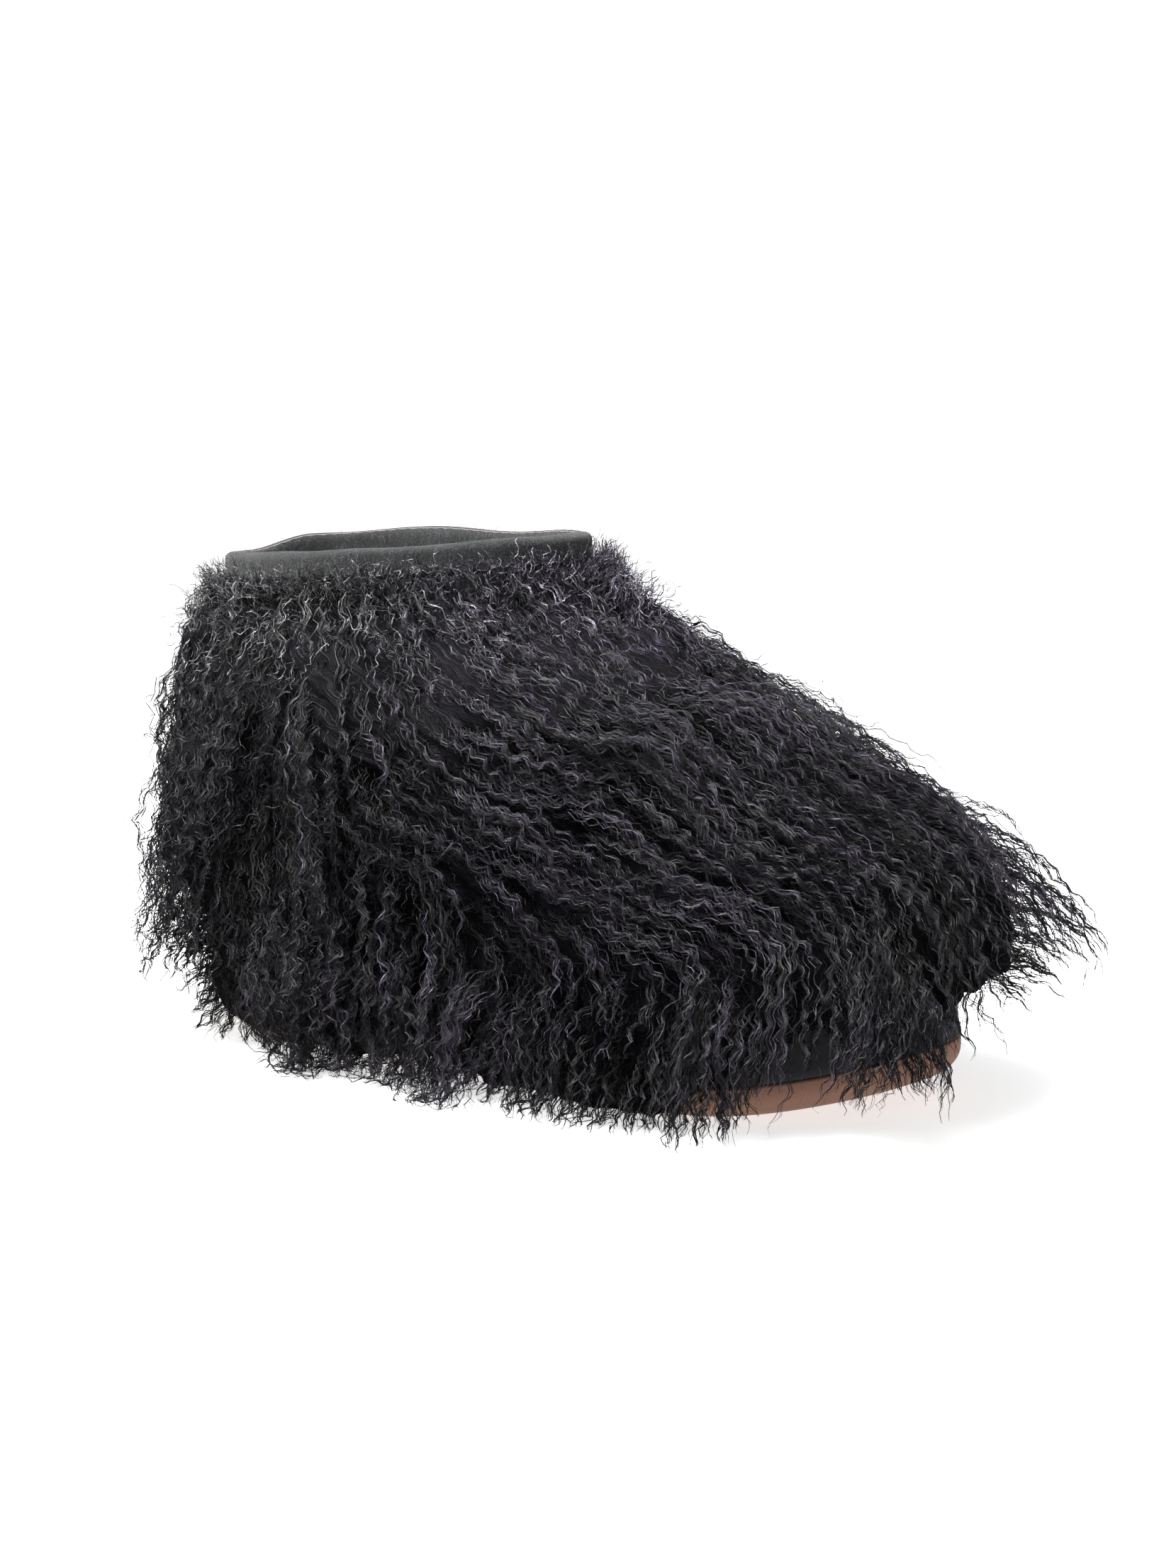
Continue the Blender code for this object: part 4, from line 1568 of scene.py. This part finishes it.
def wear_group():
    """Mask of rubbed and dusty places, from broad clouds broken by fine scratches."""
    number = "NodeSocketFloat"
    tree, given, result = shader_group(
        "soft_wear", (("Scale", number, 20.0), ("Amount", number, 0.5)), (("Mask", number),),
    )
    place = object_place(tree)
    cloud = noise_of(tree, place, given["Scale"], 5.0)
    stretched = vectors(tree, "MULTIPLY", place, (1.0, 0.12, 1.0))
    scratch = noise_of(tree, stretched, maths(tree, "MULTIPLY", given["Scale"], 30.0), 4.0, 0.7)
    both = maths(tree, "MULTIPLY", ranged(tree, cloud, 0.35, 0.75), ranged(tree, scratch, 0.4, 0.7))
    join(tree, maths(tree, "MULTIPLY", both, given["Amount"]), result["Mask"])
    return tree


def grouped(tree, group, inputs):
    """A group's node with its inputs, from the group of that name or made now."""
    made = bpy.data.node_groups.get(group[0]) or group[1]()
    return add(tree, "ShaderNodeGroup", inputs, node_tree=made)


HAIR = ("lamb_hair", hair_group)
FELT = ("pressed_felt", felt_group)
GRAIN = ("leather_grain", grain_group)
WEAR = ("soft_wear", wear_group)


def solid(colour):
    """A colour with its alpha."""
    return (*colour, 1.0)


def scaled(colour, factor, lift=0.0):
    """A solid colour whose parts are multiplied by a factor and lifted."""
    return solid(factor * part + lift for part in colour)


def new_material(name, roughness, **sockets):
    """A material with its Principled shader, whose even values are set on its own sockets."""
    material = bpy.data.materials.new(name)
    material.use_nodes = True
    tree = material.node_tree
    shader = tree.nodes["Principled BSDF"]
    shader.inputs["Roughness"].default_value = roughness
    for label, value in sockets.items():
        shader.inputs[label.replace("_", " ")].default_value = value
    return material, tree, shader


def relief(tree, shader, height, distance, strength=1.0):
    """Gives a shader the bumps of a height."""
    inputs = {"Height": height, "Distance": distance, "Strength": strength}
    join(tree, out(add(tree, "ShaderNodeBump", inputs)), shader.inputs["Normal"])


def attribute(tree, name, output="Fac"):
    """An attribute of the mesh by its name."""
    return out(add(tree, "ShaderNodeAttribute", attribute_name=name), output)


def front_cast(tree, colour):
    """A fur colour with the faint violet cast that it has towards the toe."""
    forward = ranged(tree, part_of(tree, object_place(tree), "Y"), -0.02, -0.11)
    cast = mixed(tree, forward, solid((1.0, 1.0, 1.0)), solid(VIOLET))
    return mixed(tree, 1.0, colour, cast, "MULTIPLY")


def fur_material():
    """Black lamb hair with a soft grey sheen."""
    style = fur_style()
    material, tree, shader = new_material("lamb_hair_black", 0.40, Specular_IOR_Level=0.5)
    inputs = {name: attribute(tree, name.lower()) for name in HAIR_VALUES}
    inputs["Root"] = solid(style.root_colour)
    inputs["Hair"] = solid(style.hair_colour)
    inputs["Tip"] = solid(style.tip_colour)
    hair = grouped(tree, HAIR, inputs)
    join(tree, front_cast(tree, out(hair, "Color")), shader.inputs["Base Color"])
    relief(tree, shader, out(hair, "Height"), 0.00012, 0.8)
    return material


# How much brighter the wool's crests are painted than the hair's own colour: painted light,
# which makes up for the little light that gets in
WOOL_PAINTED_LIGHT = 15.0


def strand_ridges(tree, across, along, width, length):
    """Soft ridges of a width and a length that follow the crimped strands."""
    waves = vector_of(
        tree, maths(tree, "DIVIDE", across, width), maths(tree, "DIVIDE", along, length)
    )
    off = maths(tree, "SUBTRACT", noise_of(tree, waves, 1.0, 1.0, 0.5), 0.5)
    return ranged(tree, maths(tree, "ABSOLUTE", off), 0.0, 0.11, 1.0, 0.0)


def wool_material():
    """The dense wool under the locks: fine crimped strands that lie close, in dull black."""
    material, tree, shader = new_material("lamb_wool_under", 0.8, Specular_IOR_Level=0.14)
    style = fur_style()
    place = object_place(tree)
    lie = attribute(tree, "lie", "Vector")
    along = part_of(tree, lie, "Y")
    wander = maths(tree, "MULTIPLY", noise_of(tree, place, 60.0, 1.0), 6.0)
    turn = maths(tree, "MULTIPLY_ADD", along, 2 * np.pi / style.crimp_length, wander)
    wave = maths(tree, "SINE", turn)
    across = maths(tree, "MULTIPLY_ADD", wave, 0.0010, part_of(tree, lie, "X"))

    bundles = strand_ridges(tree, across, along, 0.0050, 0.040)
    strands = strand_ridges(tree, across, along, 0.0019, 0.022)
    hairs = strand_ridges(tree, across, along, 0.0007, 0.014)
    fuzz = noise_of(tree, place, 1300.0, 3.0, 0.7)
    height = maths(tree, "MULTIPLY_ADD", hairs, 0.5, strands)
    height = maths(tree, "MULTIPLY_ADD", bundles, 0.9, height)
    # painted light and shade: the crests of the ridges and of the crimp's waves are painted pale
    # and the valleys between them the root's dark colour, and all of it paler near the collar as
    # painted light from above; the fine fuzz noise is random
    ridge = ranged(tree, height, 0.55, 2.0)
    painted_top_light = ranged(tree, part_of(tree, place, "Z"), 0.130, 0.158, 0.22, 1.0)
    pale = product(
        tree,
        product(tree, ridge, ridge),
        maths(tree, "MULTIPLY_ADD", wave, 0.30, 0.70),
        ranged(tree, fuzz, 0.35, 0.65, 0.25, 1.5),
        painted_top_light,
    )
    bright = [WOOL_PAINTED_LIGHT * part for part in style.hair_colour]
    painted_crest_colour = mixed(tree, painted_top_light, solid(bright), solid([sum(bright) / 3] * 3))
    colour = mixed(tree, pale, solid(style.root_colour), painted_crest_colour)
    join(tree, front_cast(tree, colour), shader.inputs["Base Color"])
    relief(tree, shader, maths(tree, "MULTIPLY_ADD", fuzz, 0.3, height), 0.0009)
    return material


def felt_material(name, shade=1.0, sheen=0.25):
    """Thick pressed felt: the felt's own colours times the shade, painted shade where below one."""
    style = finish_style()
    material, tree, shader = new_material(
        name, 0.92, Sheen_Weight=sheen, Sheen_Roughness=0.45, Specular_IOR_Level=0.25
    )
    felt = grouped(tree, FELT, {
        "Felt": scaled(style.felt, shade), "Fleck": scaled(style.felt_fleck, shade), "Scale": 1.0,
    })
    join(tree, out(felt, "Color"), shader.inputs["Base Color"])
    relief(tree, shader, out(felt, "Height"), 0.0008, 0.9)
    return material


def painted_shade_felt(name):
    """The collar's felt inside the slipper, painted darker as painted shade, and duller."""
    return felt_material(name, shade=0.6, sheen=0.05)


def rand_material():
    """Smooth black leather band, matt satin and faintly rubbed."""
    style = finish_style()
    material, tree, shader = new_material("rand_black_leather", 0.5)
    grain = grouped(tree, GRAIN, {"Scale": 1300.0})
    wear = grouped(tree, WEAR, {"Scale": 26.0, "Amount": 0.5})
    rubbed = scaled(style.rand, 0.5, 0.016)
    colour = mixed(tree, out(wear, "Mask"), solid(style.rand), rubbed)
    join(tree, colour, shader.inputs["Base Color"])
    join(tree, ranged(tree, out(wear, "Mask"), 0.0, 0.5, 0.46, 0.62), shader.inputs["Roughness"])
    relief(tree, shader, out(grain, "Height"), 0.00006, 0.6)
    return material


def sole_material():
    """Tan sole leather, with painted shade where it curves under, and scuffed where it stands."""
    style = finish_style()
    material, tree, shader = new_material("sole_tan_leather", 0.5)
    place = object_place(tree)
    height = part_of(tree, place, "Z")
    facing = part_of(tree, out(add(tree, "ShaderNodeNewGeometry"), "Normal"), "Z")
    # painted shade: the sole is painted darker where it faces down, as it curves under
    under = ranged(tree, facing, -0.15, -0.95)
    cloud = noise_of(tree, place, 34.0, 5.0, 0.6)
    grain = grouped(tree, GRAIN, {"Scale": 1100.0})
    wear = grouped(tree, WEAR, {"Scale": 30.0, "Amount": 0.8})
    tan = solid(style.sole)
    for darker in (
        ranged(tree, cloud, 0.3, 0.75, 0.0, 0.35),
        maths(tree, "MULTIPLY", under, 0.75),
        maths(tree, "MULTIPLY", out(grain, "Pores"), 0.3),
    ):
        tan = mixed(tree, darker, tan, solid(style.sole_dark_and_shade))
    touching = maths(tree, "MULTIPLY", ranged(tree, height, 0.0015, 0.0002), out(wear, "Mask"))
    dusty = scaled(style.sole_dark_and_shade, 0.6, 0.05)
    join(tree, mixed(tree, touching, tan, dusty), shader.inputs["Base Color"])
    join(tree, ranged(tree, out(wear, "Mask"), 0.0, 0.6, 0.45, 0.7), shader.inputs["Roughness"])
    relief(tree, shader, out(grain, "Height"), 0.00008, 0.7)
    return material


def thread_material():
    """Pale twisted thread at the rim."""
    material, tree, shader = new_material("rim_thread", 0.8)
    twist = noise_of(tree, object_place(tree), 1800.0, 2.0)
    thread = finish_style().thread
    colour = mixed(tree, twist, scaled(thread, 0.45), solid(thread))
    join(tree, colour, shader.inputs["Base Color"])
    relief(tree, shader, twist, 0.0002)
    return material


# ---- Operators ----

# The sole's section: inset and drop of its top's points, how far its edge curves in under it and
# from which share of its height, and the inset of the innermost points of its underside
SOLE_TOP = (
    # inset, drop
    (0.020, 0.0),
    (0.010, 0.0),
    (0.0012, 0.0),
    (0.0004, 0.0003),
    (0.0002, 0.0009),
)
SOLE_UNDERCUT = 0.0068
SOLE_FLANK = 0.65
SOLE_TREAD = 0.018


class SLIPPER_OT_outsole(bpy.types.Operator):
    """Make the tan leather sole, with its rounded edge, arch and raised toe"""

    bl_idname = "slipper.outsole"
    bl_label = "Outsole"

    def execute(self, context):
        top, outline = shape().sole_edge, sole_outline()
        section = [(inset, top - drop) for inset, drop in SOLE_TOP]
        for inset, up in quarter_round(SOLE_UNDERCUT, SOLE_FLANK * top, 10):
            section.append((SOLE_TOP[-1][0] + inset, up))
        section.append((SOLE_TREAD, 0.0))
        loops = [on_sole(outline, inset, up) for inset, up in section]
        sole = plate_piece("sole_leather", loops, sole_material())
        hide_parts("outsole")
        return {"FINISHED"}


# Radius of the rand's upper outer edge
RAND_ROUND = 0.0016


class SLIPPER_OT_rand(bpy.types.Operator):
    """Make the smooth black band that stands on the sole's edge"""

    bl_idname = "slipper.rand"
    bl_label = "Rand"

    def execute(self, context):
        sizes = shape()
        top, wall = sizes.rand_height, sizes.rand_wall
        section = [(0.0004, sizes.gap), (0.00005, 0.0012)]
        section += [(0.0, rise) for rise in np.linspace(0.003, top - 0.004, 6)]
        section += [(inset, top - drop) for inset, drop in quarter_round(RAND_ROUND, RAND_ROUND, 6)]
        section += [(wall, top), (wall, top / 2), (wall, sizes.gap)]
        loops = [wall_loop(inset, rise) for inset, rise in section]
        band = ring_piece("rand_band", loops, rand_material())
        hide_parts("rand")
        return {"FINISHED"}


# The footbed's section, and what keeps its edge clear of the upper
FOOTBED_SECTION = (
    # inset, share of the thickness
    (0.026, 1.00),
    (0.019, 1.02),
    (0.012, 1.04),
    (0.007, 1.04),
    (0.004, 1.00),
    (0.0018, 0.90),
    (0.0007, 0.72),
    (0.0002, 0.45),
    (0.0, 0.20),
    (0.0, 0.0),
    (0.014, 0.0),
)
FOOTBED_CLEARANCE = 0.0001


class SLIPPER_OT_footbed(bpy.types.Operator):
    """Make the soft felt footbed that lies on the sole"""

    bl_idname = "slipper.footbed"
    bl_label = "Footbed"

    def execute(self, context):
        sizes = shape()
        outline = sole_outline()
        edge = sizes.rand_wall + sizes.skin_wall + sizes.gap + FOOTBED_CLEARANCE
        bottom = sizes.sole_edge + sizes.gap
        loops = [
            on_sole(outline, edge + inset, bottom + sizes.footbed * share)
            for inset, share in FOOTBED_SECTION
        ]
        bed = plate_piece("felt_footbed", loops, painted_shade_felt("footbed_felt"))
        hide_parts("insole")
        return {"FINISHED"}


# The lining: the level that it reaches, its rows, and its thickness up the upper and by the sole
LINING_LEVEL = 0.93
LINING_ROWS = 16
LINING_THICKNESS = 0.0012
LINING_AT_SOLE = 0.0008


class SLIPPER_OT_lining(bpy.types.Operator):
    """Make the felt lining of the upper"""

    bl_idname = "slipper.lining"
    bl_label = "Lining"

    def execute(self, context):
        sizes = shape()
        skin = skin_grid(np.linspace(0, LINING_LEVEL, LINING_ROWS))
        normals = grid_normals(skin)
        inset = sizes.rand_wall + sizes.gap + sizes.skin_wall
        rises = np.linspace(sizes.gap, sizes.rand_height, 6)
        low = [wall_loop(inset, rise) for rise in rises]
        low_back = [wall_loop(inset - LINING_AT_SOLE, rise) for rise in rises]
        inner = uneven(skin[1:] - normals[1:] * sizes.skin_wall, 0.030, 0.0006, 5)
        outer = skin[1:] - normals[1:] * (sizes.skin_wall - LINING_THICKNESS)
        loops = low + list(inner) + list(outer[::-1]) + low_back[::-1]
        ring_piece("felt_lining", loops, painted_shade_felt("lining_felt"))
        return {"FINISHED"}


# The collar: the levels of its facing inside the upper, the facing's thickness, the radius of its
# rolled rim, and how much taller its inner side stands towards the back
FACING_LEVELS = (0.86, 0.90, 0.945, 0.97, 1.0)
FACING_THICKNESS = 0.002
RIM_ROLL = 0.0024
RIM_TALLER = 0.34

# The thread: the number of the collar's loop that it lies on, its radius, how deep it is sunk,
# the length of a stitch, and its sides
RIM_LOOP = 12
THREAD_RADIUS = 0.00034
THREAD_SUNK = 0.0001
STITCH_LENGTH = 0.0042
THREAD_SIDES = 6


def collar_loops():
    """Loops round the felt collar: its facing, its rolled rim and its outer side."""
    sizes = shape()
    skin = skin_grid(FACING_LEVELS)
    normals = skin_normals(skin)
    edge, plan_out = skin[-1], normals[-1]
    clear = sizes.skin_wall + sizes.gap
    inner = clear + FACING_THICKNESS
    outer = sizes.collar_band - inner
    stands = sizes.collar_stands
    roll = quarter_round(RIM_ROLL, RIM_ROLL, 7)
    band = [(inner, rise) for rise in (0.0025, 0.005, 0.0068)]
    band += [(inner - across, stands - down) for across, down in roll]
    band += [(across - outer, stands - down) for across, down in roll[::-1]]
    band += [(-outer, rise) for rise in (0.0062, 0.0045, 0.0025, sizes.gap)]
    facing = list(skin - normals * inner)
    backing = list(skin - normals * (clear + sizes.gap))[::-1]
    place = side_place()
    inner_back = ramp(place, 0, 0.12) * (1 - ramp(place, 0.30, 0.35))
    inner_back = inner_back * np.repeat([0.0, 1.0], SIDE_COLUMNS)
    taller = 1 + RIM_TALLER * inner_back[:, None]
    up = np.array([0.0, 0.0, 1.0])
    face = facing + [edge - plan_out * inset + up * rise * taller for inset, rise in band]
    seam = edge - plan_out * clear + up * sizes.gap
    return [*uneven(face, 0.022, 0.0007, 2), seam, *backing]


def thread_loops():
    """Loops along the stitched thread that lies on the collar's rim."""
    middle, after = refined(np.array(collar_loops()[RIM_LOOP : RIM_LOOP + 2]), 1, 4)
    ahead = np.roll(middle, -1, axis=0) - middle
    away = unit(np.cross(ahead, after - middle))
    beside = unit(after - middle)
    run = np.cumsum(np.linalg.norm(ahead, axis=1))
    stitches = round(run[-1] / STITCH_LENGTH)
    swell = np.abs(np.sin(np.pi * run / run[-1] * stitches))[:, None] ** 0.6
    thick = THREAD_RADIUS * (0.45 + 0.55 * swell)
    centre = middle + away * (THREAD_RADIUS * swell - THREAD_SUNK)
    turns = np.linspace(0, 2 * np.pi, THREAD_SIDES, endpoint=False)
    return [centre + (away * np.cos(turn) + beside * np.sin(turn)) * thick for turn in turns]


class SLIPPER_OT_collar(bpy.types.Operator):
    """Make the thick felt collar, its fuzzy nap and the pale thread at its rim"""

    bl_idname = "slipper.collar"
    bl_label = "Collar"

    def execute(self, context):
        material = felt_material("collar_felt")
        collar = ring_piece("felt_collar", collar_loops(), material)
        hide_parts("collar")
        ring_piece("rim_thread", thread_loops(), thread_material())
        nap = felt_material("collar_nap")
        made_by_nodes("felt_collar_nap", collar, nap_tree(), {"Material": nap})
        return {"FINISHED"}


# The ridges along the wool's strands
RIDGE_WIDTH = 0.0062
RIDGE_LENGTH = 0.026
RIDGE_DEPTH = 0.0030


def wool_outside(coat, lie):
    """The wool's outer side: soft lumps, ridges along the crimped strands, and small bumps."""
    outer = uneven(refined(coat, WOOL_ROWS, WOOL_COLUMNS), 0.026, 0.0060, 11)
    across, along, flat = np.moveaxis(lie, -1, 0)
    crimp = 0.0016 * np.sin(along * 2 * np.pi / 0.011 + 5 * noise_at(outer, 0.02, 3))
    ridges = np.stack([(across + crimp) / RIDGE_WIDTH, along / RIDGE_LENGTH, flat], axis=-1)
    outer = outer + grid_normals(outer) * (RIDGE_DEPTH * noise_at(ridges, 1.0, 9))[..., None]
    return uneven(outer, 0.0045, 0.0011, 8)


def wool_inside():
    """The wool's inner side: behind its hem, then along the lambskin."""
    rand_height = shape().rand_height
    hem = rand_height - column(HEM_DROP, side_place(), 1)
    skin = skin_grid(np.linspace(0, 1, WOOL_INNER_ROWS))
    within = [wall_loop(-0.0012, hem), wall_loop(-0.0006, rand_height)]
    return refined(np.array([*within, *(skin - skin_normals(skin) * 0.0016)]), 1, WOOL_COLUMNS)


class SLIPPER_OT_wool(bpy.types.Operator):
    """Make the lambskin with the dense wool under the locks"""

    bl_idname = "slipper.wool"
    bl_label = "Under wool"

    def execute(self, context):
        coat, levels = coat_grid()
        lie = refined(strand_lie(coat, levels), WOOL_ROWS, WOOL_COLUMNS)
        outer, within = wool_outside(coat, lie), wool_inside()
        loops = [*within, *outer[::-1]]
        wool = ring_piece("lamb_wool", loops, wool_material())
        lies = np.concatenate([0 * within, lie[::-1]]).reshape(-1, 3)
        point_values(wool.data, "lie", "FLOAT_VECTOR", lies)
        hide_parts("upper")
        return {"FINISHED"}


def grown(name, locks, chosen, tree, values):
    """Makes the piece of fur that a tree grows of the chosen locks."""
    guides = guides_of(name, locks, chosen)
    made_by_nodes(name, guides, tree, values)
    bpy.data.objects.remove(guides)


class SLIPPER_OT_fur(bpy.types.Operator):
    """Grow the long crimped locks of the lamb fur"""

    bl_idname = "slipper.fur"
    bl_label = "Fur"

    def execute(self, context):
        style = fur_style()
        body = Body()
        tree = strand_tree()
        lock_values = {
            "Strands": style.strands, "Lock Radius": style.lock_radius,
            "Strand Width": style.strand_width, "Crimp Length": style.crimp_length,
            "Crimp Depth": style.crimp_depth, "Step": style.step, "Seed": style.seed,
            "Material": fur_material(),
        }
        locks = lamb_locks(body)
        for name, side, start, end in FUR_REGIONS:
            chosen = (locks["place"] >= start) & (locks["place"] < end)
            if side != "both":
                chosen &= locks["outer"] == (side == "outer")
            grown(name, locks, chosen, tree, lock_values)
        fuzz_values = {
            **FUZZ_STRANDS, "Strands": style.fuzz_strands, "Seed": style.seed + FUZZ_SEED,
            "Material": lock_values["Material"],
        }
        fuzz = wool_fuzz(body)
        for name, start, end in FUZZ_REGIONS:
            chosen = (fuzz["place"] >= start) & (fuzz["place"] < end)
            grown(name, fuzz, chosen, tree, fuzz_values)
        return {"FINISHED"}


# ---- The stage ----

# Radius of the floor and of the backdrop round it
STAGE_RADIUS = 10.0

# How far the floor near the slipper and far from it glows, so that it shows white
NEAR_GLOW = 0.66
FAR_GLOW = 0.75
GLOW_DISTANCES = (0.35, 2.5)

# The world's light from below, from the level and from above
LIGHT_BELOW = (0.75, 0.74, 0.74)
LIGHT_LEVEL = (0.22, 0.22, 0.22)
LIGHT_ABOVE = (1.0, 1.0, 1.0)

# Places of the two lamps and how wide they are
KEY_PLACE = (-0.22, 0.02, 0.80)
KEY_WIDTH = 0.5
FILL_PLACE = (-1.1, 0.6, 0.9)
FILL_WIDTH = 0.9
FILL_COLOUR = (0.94, 1.0, 0.93)


def stage_piece(name, mesh, material):
    """An object of the stage, made of a mesh."""
    data = bpy.data.meshes.new(name)
    mesh.to_mesh(data)
    mesh.free()
    data.materials.append(material)
    piece = bpy.data.objects.new(name, data)
    bpy.context.scene.collection.objects.link(piece)
    return piece


def paper_floor(settings):
    """A pale round floor that glows a little. It lights nothing."""
    mesh = bmesh.new()
    bmesh.ops.create_circle(mesh, cap_ends=True, segments=64, radius=STAGE_RADIUS)
    material, tree, shader = new_material(
        "floor_paper", 0.9, Specular_IOR_Level=0.1, Emission_Strength=1.0
    )
    shade = noise_of(tree, object_place(tree), 400.0, 2.0)
    pale, dim = solid(settings.floor_colour), scaled(settings.floor_colour, 0.985)
    join(tree, mixed(tree, shade, dim, pale), shader.inputs["Base Color"])
    away = ranged(tree, vectors(tree, "LENGTH", object_place(tree)), *GLOW_DISTANCES)
    glow = mixed(tree, away, solid([NEAR_GLOW] * 3), solid([FAR_GLOW] * 3))
    join(tree, glow, shader.inputs["Emission Color"])
    floor = stage_piece("floor", mesh, material)
    floor.visible_diffuse = False
    floor.visible_glossy = False


def white_backdrop():
    """A white sphere round the stage that only the camera sees."""
    mesh = bmesh.new()
    bmesh.ops.create_uvsphere(mesh, u_segments=64, v_segments=32, radius=STAGE_RADIUS)
    bmesh.ops.reverse_faces(mesh, faces=mesh.faces)
    material = new_material(
        "backdrop_white", 1.0, Base_Color=solid((0.0, 0.0, 0.0)), Specular_IOR_Level=0.0,
        Emission_Color=solid((1.0, 1.0, 1.0)), Emission_Strength=1.05,
    )[0]
    backdrop = stage_piece("backdrop", mesh, material)
    backdrop.data.shade_smooth()
    for label in ("diffuse", "glossy", "transmission", "shadow"):
        setattr(backdrop, "visible_" + label, False)


def studio_world(settings):
    """Even light that is strongest from above, and comes back from the floor below."""
    world = bpy.data.worlds.new("studio")
    world.use_nodes = True
    tree = world.node_tree
    rise = part_of(tree, out(add(tree, "ShaderNodeTexCoord"), "Generated"), "Z")
    lower = ranged(tree, rise, -0.25, 0.05)
    lower = mixed(tree, lower, solid(LIGHT_BELOW), solid(LIGHT_LEVEL))
    light = tree.nodes["Background"].inputs
    upper = ranged(tree, rise, 0.1, 0.9)
    join(tree, mixed(tree, upper, lower, solid(LIGHT_ABOVE)), light["Color"])
    light["Strength"].default_value = settings.world_light
    bpy.context.scene.world = world


def aimed(obj, place, aim):
    """Puts a lamp or a camera at a place, turned to a point."""
    obj.location = place
    obj.rotation_euler = (Vector(aim) - Vector(place)).to_track_quat("-Z", "Y").to_euler()
    bpy.context.scene.collection.objects.link(obj)


def soft_light(name, place, aim, width, power, colour=(1.0, 1.0, 1.0)):
    """A round lamp turned to a point."""
    data = bpy.data.lights.new(name, "AREA")
    data.color = colour
    data.shape = "DISK"
    data.size = width
    data.energy = power
    aimed(bpy.data.objects.new(name, data), place, aim)


def stage_camera(settings):
    """The camera, turned to the slipper."""
    data = bpy.data.cameras.new("camera")
    data.sensor_fit = "VERTICAL"
    data.sensor_height = 36.0
    data.lens = settings.lens
    data.clip_start = 0.01
    camera = bpy.data.objects.new("camera", data)
    aimed(camera, settings.camera_place, settings.aim)
    bpy.context.scene.camera = camera


class SLIPPER_OT_stage(bpy.types.Operator):
    """Set the pale floor, the soft lights and the camera"""

    bl_idname = "slipper.stage"
    bl_label = "Stage"

    def execute(self, context):
        settings = context.scene.slipper_stage
        aim = settings.aim
        paper_floor(settings)
        white_backdrop()
        studio_world(settings)
        soft_light("key", KEY_PLACE, aim, KEY_WIDTH, settings.key_power)
        soft_light("fill", FILL_PLACE, aim, FILL_WIDTH, settings.fill_power, FILL_COLOUR)
        stage_camera(settings)
        context.scene.view_settings.view_transform = "Standard"
        return {"FINISHED"}


# ---- The panel, and what Blender is given ----


class SLIPPER_PT_panel(bpy.types.Panel):
    """Lists the slipper's settings and the operators that make its pieces"""

    bl_idname = "SLIPPER_PT_panel"
    bl_label = "Fur Ankle Slipper"
    bl_space_type = "VIEW_3D"
    bl_region_type = "UI"
    bl_category = "Slipper"

    def draw(self, context):
        layout = self.layout
        for name in SETTINGS:
            group = getattr(context.scene, name)
            box = layout.box()
            box.label(text=type(group).__doc__)
            for label in type(group).__annotations__:
                box.prop(group, label)
        for operator in OPERATORS:
            layout.operator(operator.bl_idname)


OPERATORS = (
    SLIPPER_OT_stage,
    SLIPPER_OT_outsole,
    SLIPPER_OT_rand,
    SLIPPER_OT_footbed,
    SLIPPER_OT_lining,
    SLIPPER_OT_collar,
    SLIPPER_OT_wool,
    SLIPPER_OT_fur,
)
SETTINGS = {
    "slipper_shape": SlipperShape,
    "slipper_fur": SlipperFur,
    "slipper_finish": SlipperFinish,
    "slipper_stage": SlipperStage,
}
CLASSES = (*SETTINGS.values(), *OPERATORS, SLIPPER_PT_panel)


def register():
    """Adds the slipper's classes and settings to Blender."""
    for cls in CLASSES:
        bpy.utils.register_class(cls)
    for name, cls in SETTINGS.items():
        setattr(bpy.types.Scene, name, PointerProperty(type=cls))


def unregister():
    """Takes the slipper's classes and settings out of Blender again."""
    for name in SETTINGS:
        delattr(bpy.types.Scene, name)
    for cls in reversed(CLASSES):
        bpy.utils.unregister_class(cls)


def main():
    """Builds the stage and the pieces."""
    register()
    bpy.ops.slipper.stage()
    bpy.ops.slipper.outsole()
    bpy.ops.slipper.rand()
    bpy.ops.slipper.footbed()
    bpy.ops.slipper.lining()
    bpy.ops.slipper.collar()
    bpy.ops.slipper.wool()
    bpy.ops.slipper.fur()


if __name__ == "__main__":
    main()
